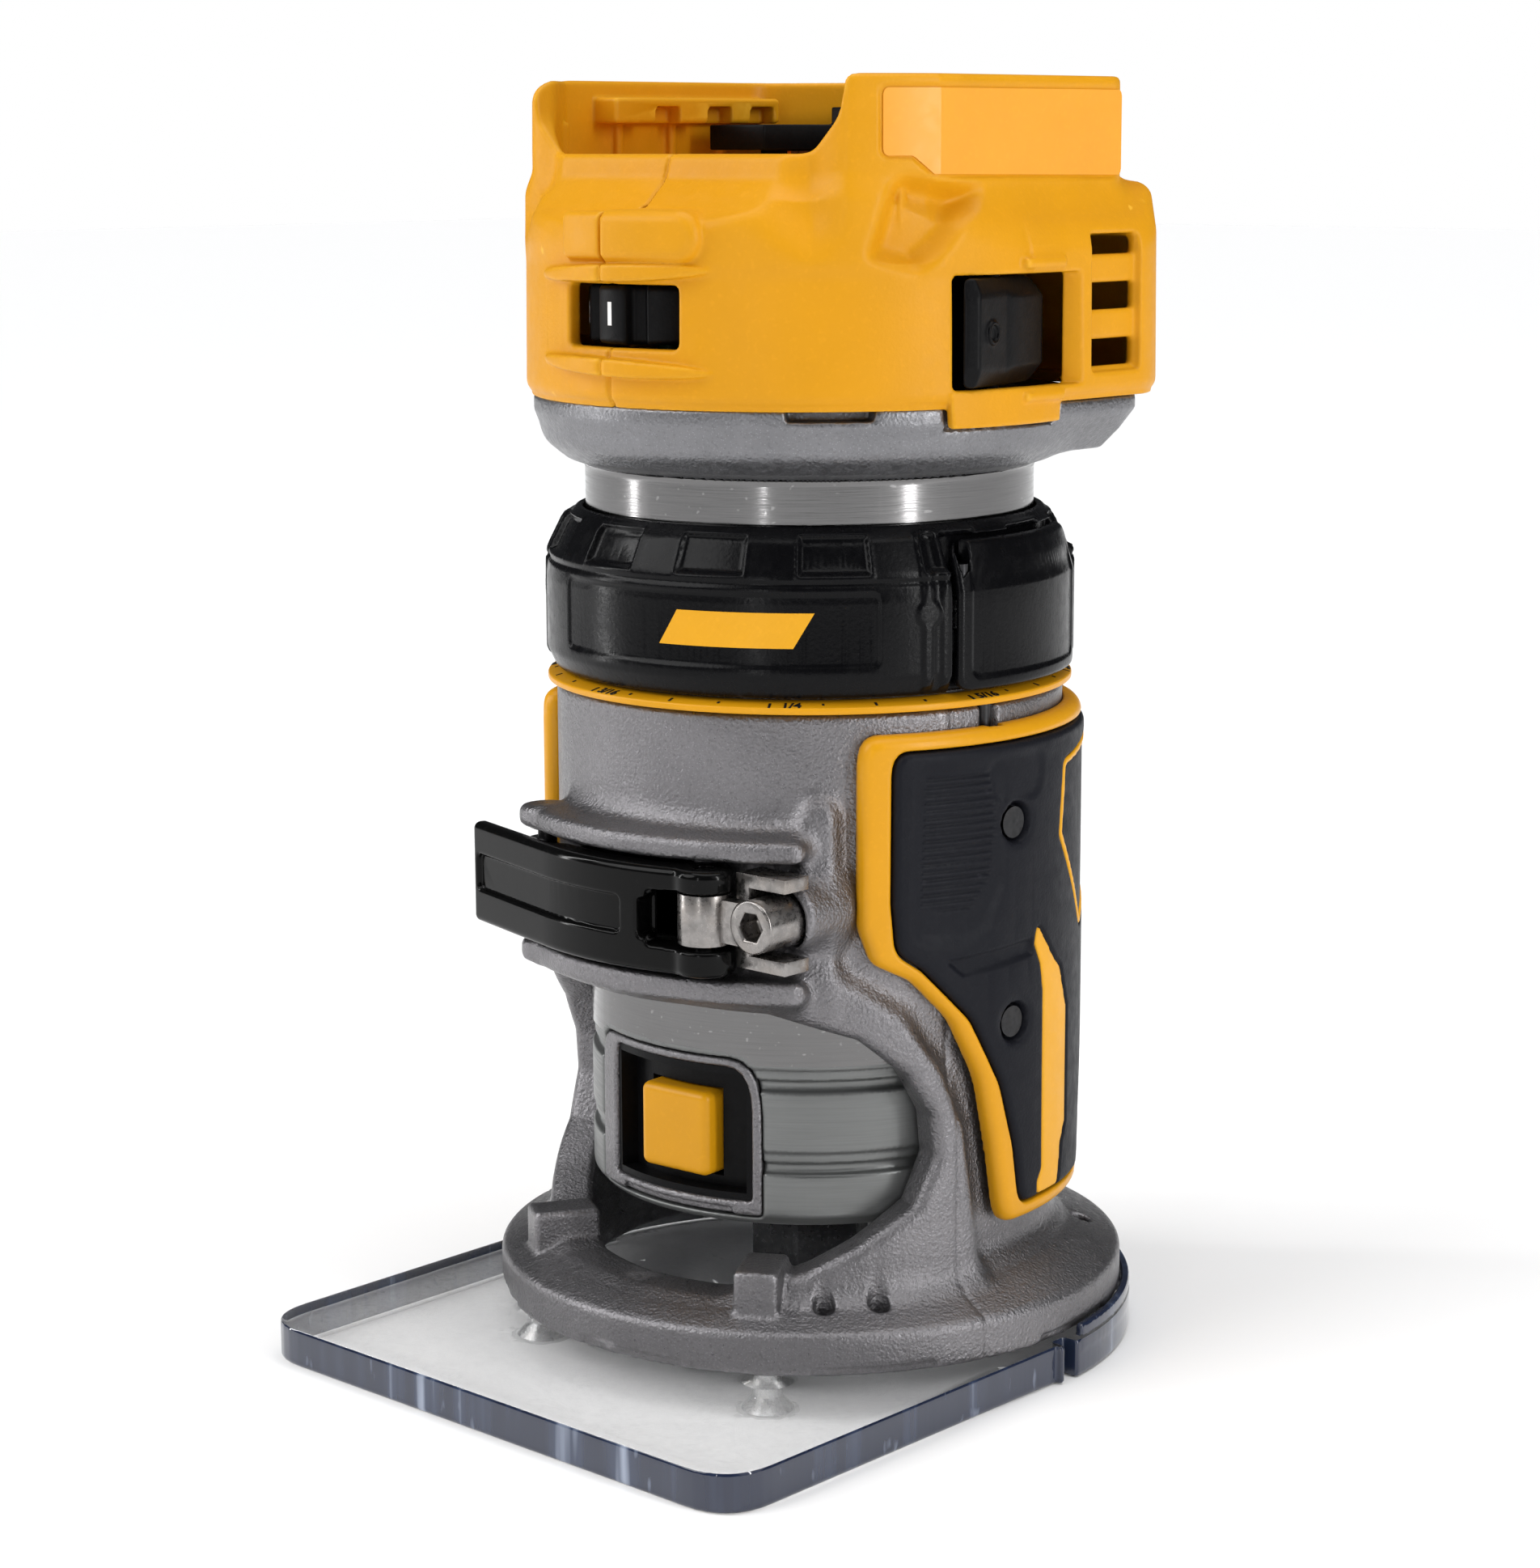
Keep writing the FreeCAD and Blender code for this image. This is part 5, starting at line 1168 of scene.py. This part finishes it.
def build_base():
    casting = base_casting()
    finish_with(casting, "base", "cast_aluminium", casting_metal, stands_for=("base_casting",))
    plate = sub_base()
    finish_with(plate, "base", "clear_plastic", clear, clear_rim, stands_for=("sub_base_plate",))

    # the sheet's outer edge and lip faces get the rim finish: a painted dark reflection with painted
    # highlight streaks
    def rim_faces(c):
        r = np.hypot(c[:, 0], c[:, 1])
        outer = (np.abs(c[:, 0]) > 48) | (c[:, 1] < -70.5) | (r > 49.5)
        corner = (np.abs(c[:, 0]) > 41.6) & (c[:, 1] < -64.3)
        corner &= np.hypot(np.abs(c[:, 0]) - 41.6, c[:, 1] + 64.3) > 7
        edge = (outer | corner) & (c[:, 2] > RIM_BAND[0]) & (c[:, 2] < RIM_BAND[1])
        return np.where(edge | (r > 50.1) & (c[:, 2] > 6.5), 1, 0)
    paint(plate, rim_faces)
    for right, left_name, slot, material, stands in zip(
            grip_parts(),
            ("left_grip_bezel_moulding", "left_grip_rubber", "left_grip_stripe", "left_grip_outline"),
            ("yellow_plastic", "black_rubber", "yellow_plastic", "yellow_plastic"),
            (yellow_smooth, rubber, yellow_mark, yellow_mark),
            ("grip_bezel", "grip_pad", None, None)):
        left = mirror(right, left_name)
        finish_with(right, "base", slot, material, stands_for=(f"right_{stands}",) if stands else ())
        finish_with(left, "base", slot, material, stands_for=(f"left_{stands}",) if stands else ())


def build_clamp():
    finish_with(clamp_lever(), "clamp_lever", "gloss_black", lever_black, stands_for=("clamp_lever",))
    for node, width in (("clamp_yoke", 0.45), ("lever_pin", 0.25), ("strap_pin", 0.25)):
        material = dark_steel if "pin" in node else gunmetal
        finish_with(softened(node, node + "_rounded", width), "base", "gunmetal", material,
                    stands_for=(node,))
    screw = softened("tension_screw", "tension_screw_rounded", 0.4, 3)
    finish_with(screw, "tension_screw", "gunmetal", gunmetal, stands_for=("tension_screw",))


def build_ring():
    finish_with(depth_ring(), "depth_ring", "black_plastic", collar_black, stands_for=("depth_ring",))
    for letter, centre in zip("ab", TAB_CENTRES):
        finish_with(release_tab(f"release_tab_{letter}_moulding", centre), f"release_tab_{letter}",
                    "black_plastic", collar_black, stands_for=(f"release_tab_{letter}",))
    finish_with(scale_ring(), "scale_ring", "yellow_plastic", yellow_smooth, stands_for=("scale_ring",))
    finish_with(scale_marks(), "scale_ring", "black_plastic", ink)
    stripe = bar_mesh(21.0, 5.2, 0.12, 24)
    for vertex in stripe.vertices:
        vertex.co.x += vertex.co.y * 0.6
    bend(stripe, on_cylinder(40.78, 26.0, 117.6))
    finish_with(merged("depth_ring_stripe", [stripe]), "depth_ring", "yellow_plastic", yellow_mark)


def build_motor():
    tube = motor_housing()
    finish_with(tube, "motor", "turned_aluminium", tube_metal, satin_metal, cone_metal,
                stands_for=("motor_housing",))
    paint(tube, lambda c: np.where(c[:, 2] > 138.95, 2, np.where(c[:, 2] < 67, 1, 0)))
    finish_with(lock_frame(), "motor", "cast_aluminium", casting_metal, stands_for=("spindle_lock_frame",))
    finish_with(lock_button(), "spindle_lock", "yellow_plastic", yellow_smooth,
                stands_for=("spindle_lock_button",))
    finish_with(shell("right_shell_moulding", 1), "motor", "yellow_plastic", yellow,
                stands_for=("right_housing_shell",))
    finish_with(shell("left_shell_moulding", -1), "motor", "yellow_plastic", yellow,
                stands_for=("left_housing_shell",))
    finish_with(label_sheet(), "motor", "label", label_paint, stands_for=("blank_label",))
    finish_with(speed_dial(), "speed_dial", "black_plastic", plain_black, stands_for=("speed_dial",))
    finish_with(dial_numbers(), "speed_dial", "label", white_ink)
    finish_with(power_rocker(), "power_rocker", "black_plastic", plain_black, stands_for=("power_rocker",))
    for node, width in (("terminal_block", 0.5), ("power_switch", 0.3)):
        finish_with(softened(node, node + "_rounded", width), "motor", "black_plastic", plain_black,
                    stands_for=(node,))
    nut = softened("collet_nut", "collet_nut_rounded", 0.35, 3)
    finish_with(nut, "collet_nut", "dark_steel", machined("nut_black", (0.12, 0.12, 0.125), 0.3),
                stands_for=("collet_nut",))


NODE_FINISHES = {
    "steel": steel, "dark_steel": dark_steel, "cast_aluminium": casting_metal,
    "turned_aluminium": tube_metal, "yellow_plastic": yellow, "black_rubber": rubber,
    "black_plastic": plain_black, "gloss_black": lever_black,
    "gunmetal": gunmetal, "lens": lens_clear, "lamination": lamination, "copper": copper,
    "board": board_green, "label": label_paint, "clear_plastic": clear,
}


def finish_nodes():
    """Every CAD node that still shows gets the finish of its slot."""
    slots = {part["node"]: part["slot"] for part in frame["record"]["subparts"]
             if "node" in part and "slot" in part}
    for name, obj in frame["nodes"].items():
        for place in obj.material_slots:
            base = (place.material.name if place.material else "").split(".")[0]
            place.material = NODE_FINISHES.get(slots.get(name), NODE_FINISHES.get(base, plain_black))


# ---- room, light and camera -----------------------------------------------------------------------

# How bright the room looks to matt surfaces, and in reflections.
ROOM_LIGHT = (0.19, 0.05)
# Name, place in metres, angular size in degrees, strength.
SUNS = (("key", (-0.55, -1.0, 1.0), 42, 1.45), ("top", (0.1, 0.1, 1.5), 60, 1.85),
        ("fill", (1.2, 0.2, 0.7), 50, 0.35))
# Name, place in metres, width and height, watts.
SOFTBOXES = (("strip_left", (-0.85, -0.55, 0.35), (0.07, 0.9), 3.4),
             ("strip_front", (0.35, -1.0, 0.3), (0.04, 0.6), 0.8),
             ("strip_right", (1.0, 0.05, 0.3), (0.10, 0.9), 5.0))


def studio():
    mesh = bpy.data.meshes.new("floor")
    half = 6.0
    corners = [(-half, -half, 0), (half, -half, 0), (half, half, 0), (-half, half, 0)]
    mesh.from_pydata(corners, [], [(0, 1, 2, 3)])
    floor = linked("studio_floor", mesh)
    paper = Finish("studio_paper", (0.96, 0.955, 0.95), 0.9)
    paper.relief(paper.noise(30, 2), 0.01)
    mesh.materials.append(paper.material)
    world = bpy.data.worlds.new("studio")
    world.use_nodes = True
    tree = world.node_tree
    room = tree.nodes["Background"]
    room.inputs["Color"].default_value = (0.90, 0.94, 1.0, 1)
    paper_white = tree.nodes.new("ShaderNodeBackground")
    paper_white.inputs["Color"].default_value = (1, 1, 1, 1)
    seen = tree.nodes.new("ShaderNodeLightPath")
    dim = tree.nodes.new("ShaderNodeMapRange")
    dim.inputs["To Min"].default_value, dim.inputs["To Max"].default_value = ROOM_LIGHT
    tree.links.new(seen.outputs["Is Glossy Ray"], dim.inputs["Value"])
    tree.links.new(dim.outputs["Result"], room.inputs["Strength"])
    mix = tree.nodes.new("ShaderNodeMixShader")
    tree.links.new(seen.outputs["Is Camera Ray"], mix.inputs["Fac"])
    tree.links.new(room.outputs[0], mix.inputs[1])
    tree.links.new(paper_white.outputs[0], mix.inputs[2])
    tree.links.new(mix.outputs[0], tree.nodes["World Output"].inputs["Surface"])
    bpy.context.scene.world = world
    for name, place, spread, strength in SUNS:
        light = bpy.data.lights.new(name, "SUN")
        light.angle = math.radians(spread)
        light.energy = strength
        place_lamp(name, light, place)
    for name, place, size, power in SOFTBOXES:
        light = bpy.data.lights.new(name, "AREA")
        light.shape = "RECTANGLE"
        light.size, light.size_y = size
        light.energy = power
        place_lamp(name, light, place)


def place_lamp(name, light, place):
    """A lamp aimed at the middle of the router."""
    lamp = linked(name, light)
    lamp.location = place
    lamp.rotation_euler = (Vector((0, 0, 0.1)) - Vector(place)).to_track_quat("-Z", "Y").to_euler()


# Place in metres, viewing direction, roll in degrees, and focal length in millimetres.
CAMERA_PLACE = (0.3573, -0.3980, 0.1876)
CAMERA_FORWARD = (-0.6652, 0.7236, -0.1841)
CAMERA_ROLL = -0.222
CAMERA_LENS = 78.81


def camera():
    data = bpy.data.cameras.new("camera")
    data.lens = CAMERA_LENS
    data.sensor_width = 36.0
    data.clip_start = 0.02
    view = linked("camera", data)
    turn = Vector(CAMERA_FORWARD).to_track_quat("-Z", "Y").to_matrix().to_4x4()
    roll = Matrix.Rotation(math.radians(CAMERA_ROLL), 4, "Z")
    view.matrix_world = Matrix.Translation(CAMERA_PLACE) @ turn @ roll
    bpy.context.scene.camera = view


finish_nodes()
build_base()
build_clamp()
build_ring()
build_motor()
studio()
camera()
bpy.context.scene.view_settings.view_transform = "Standard"
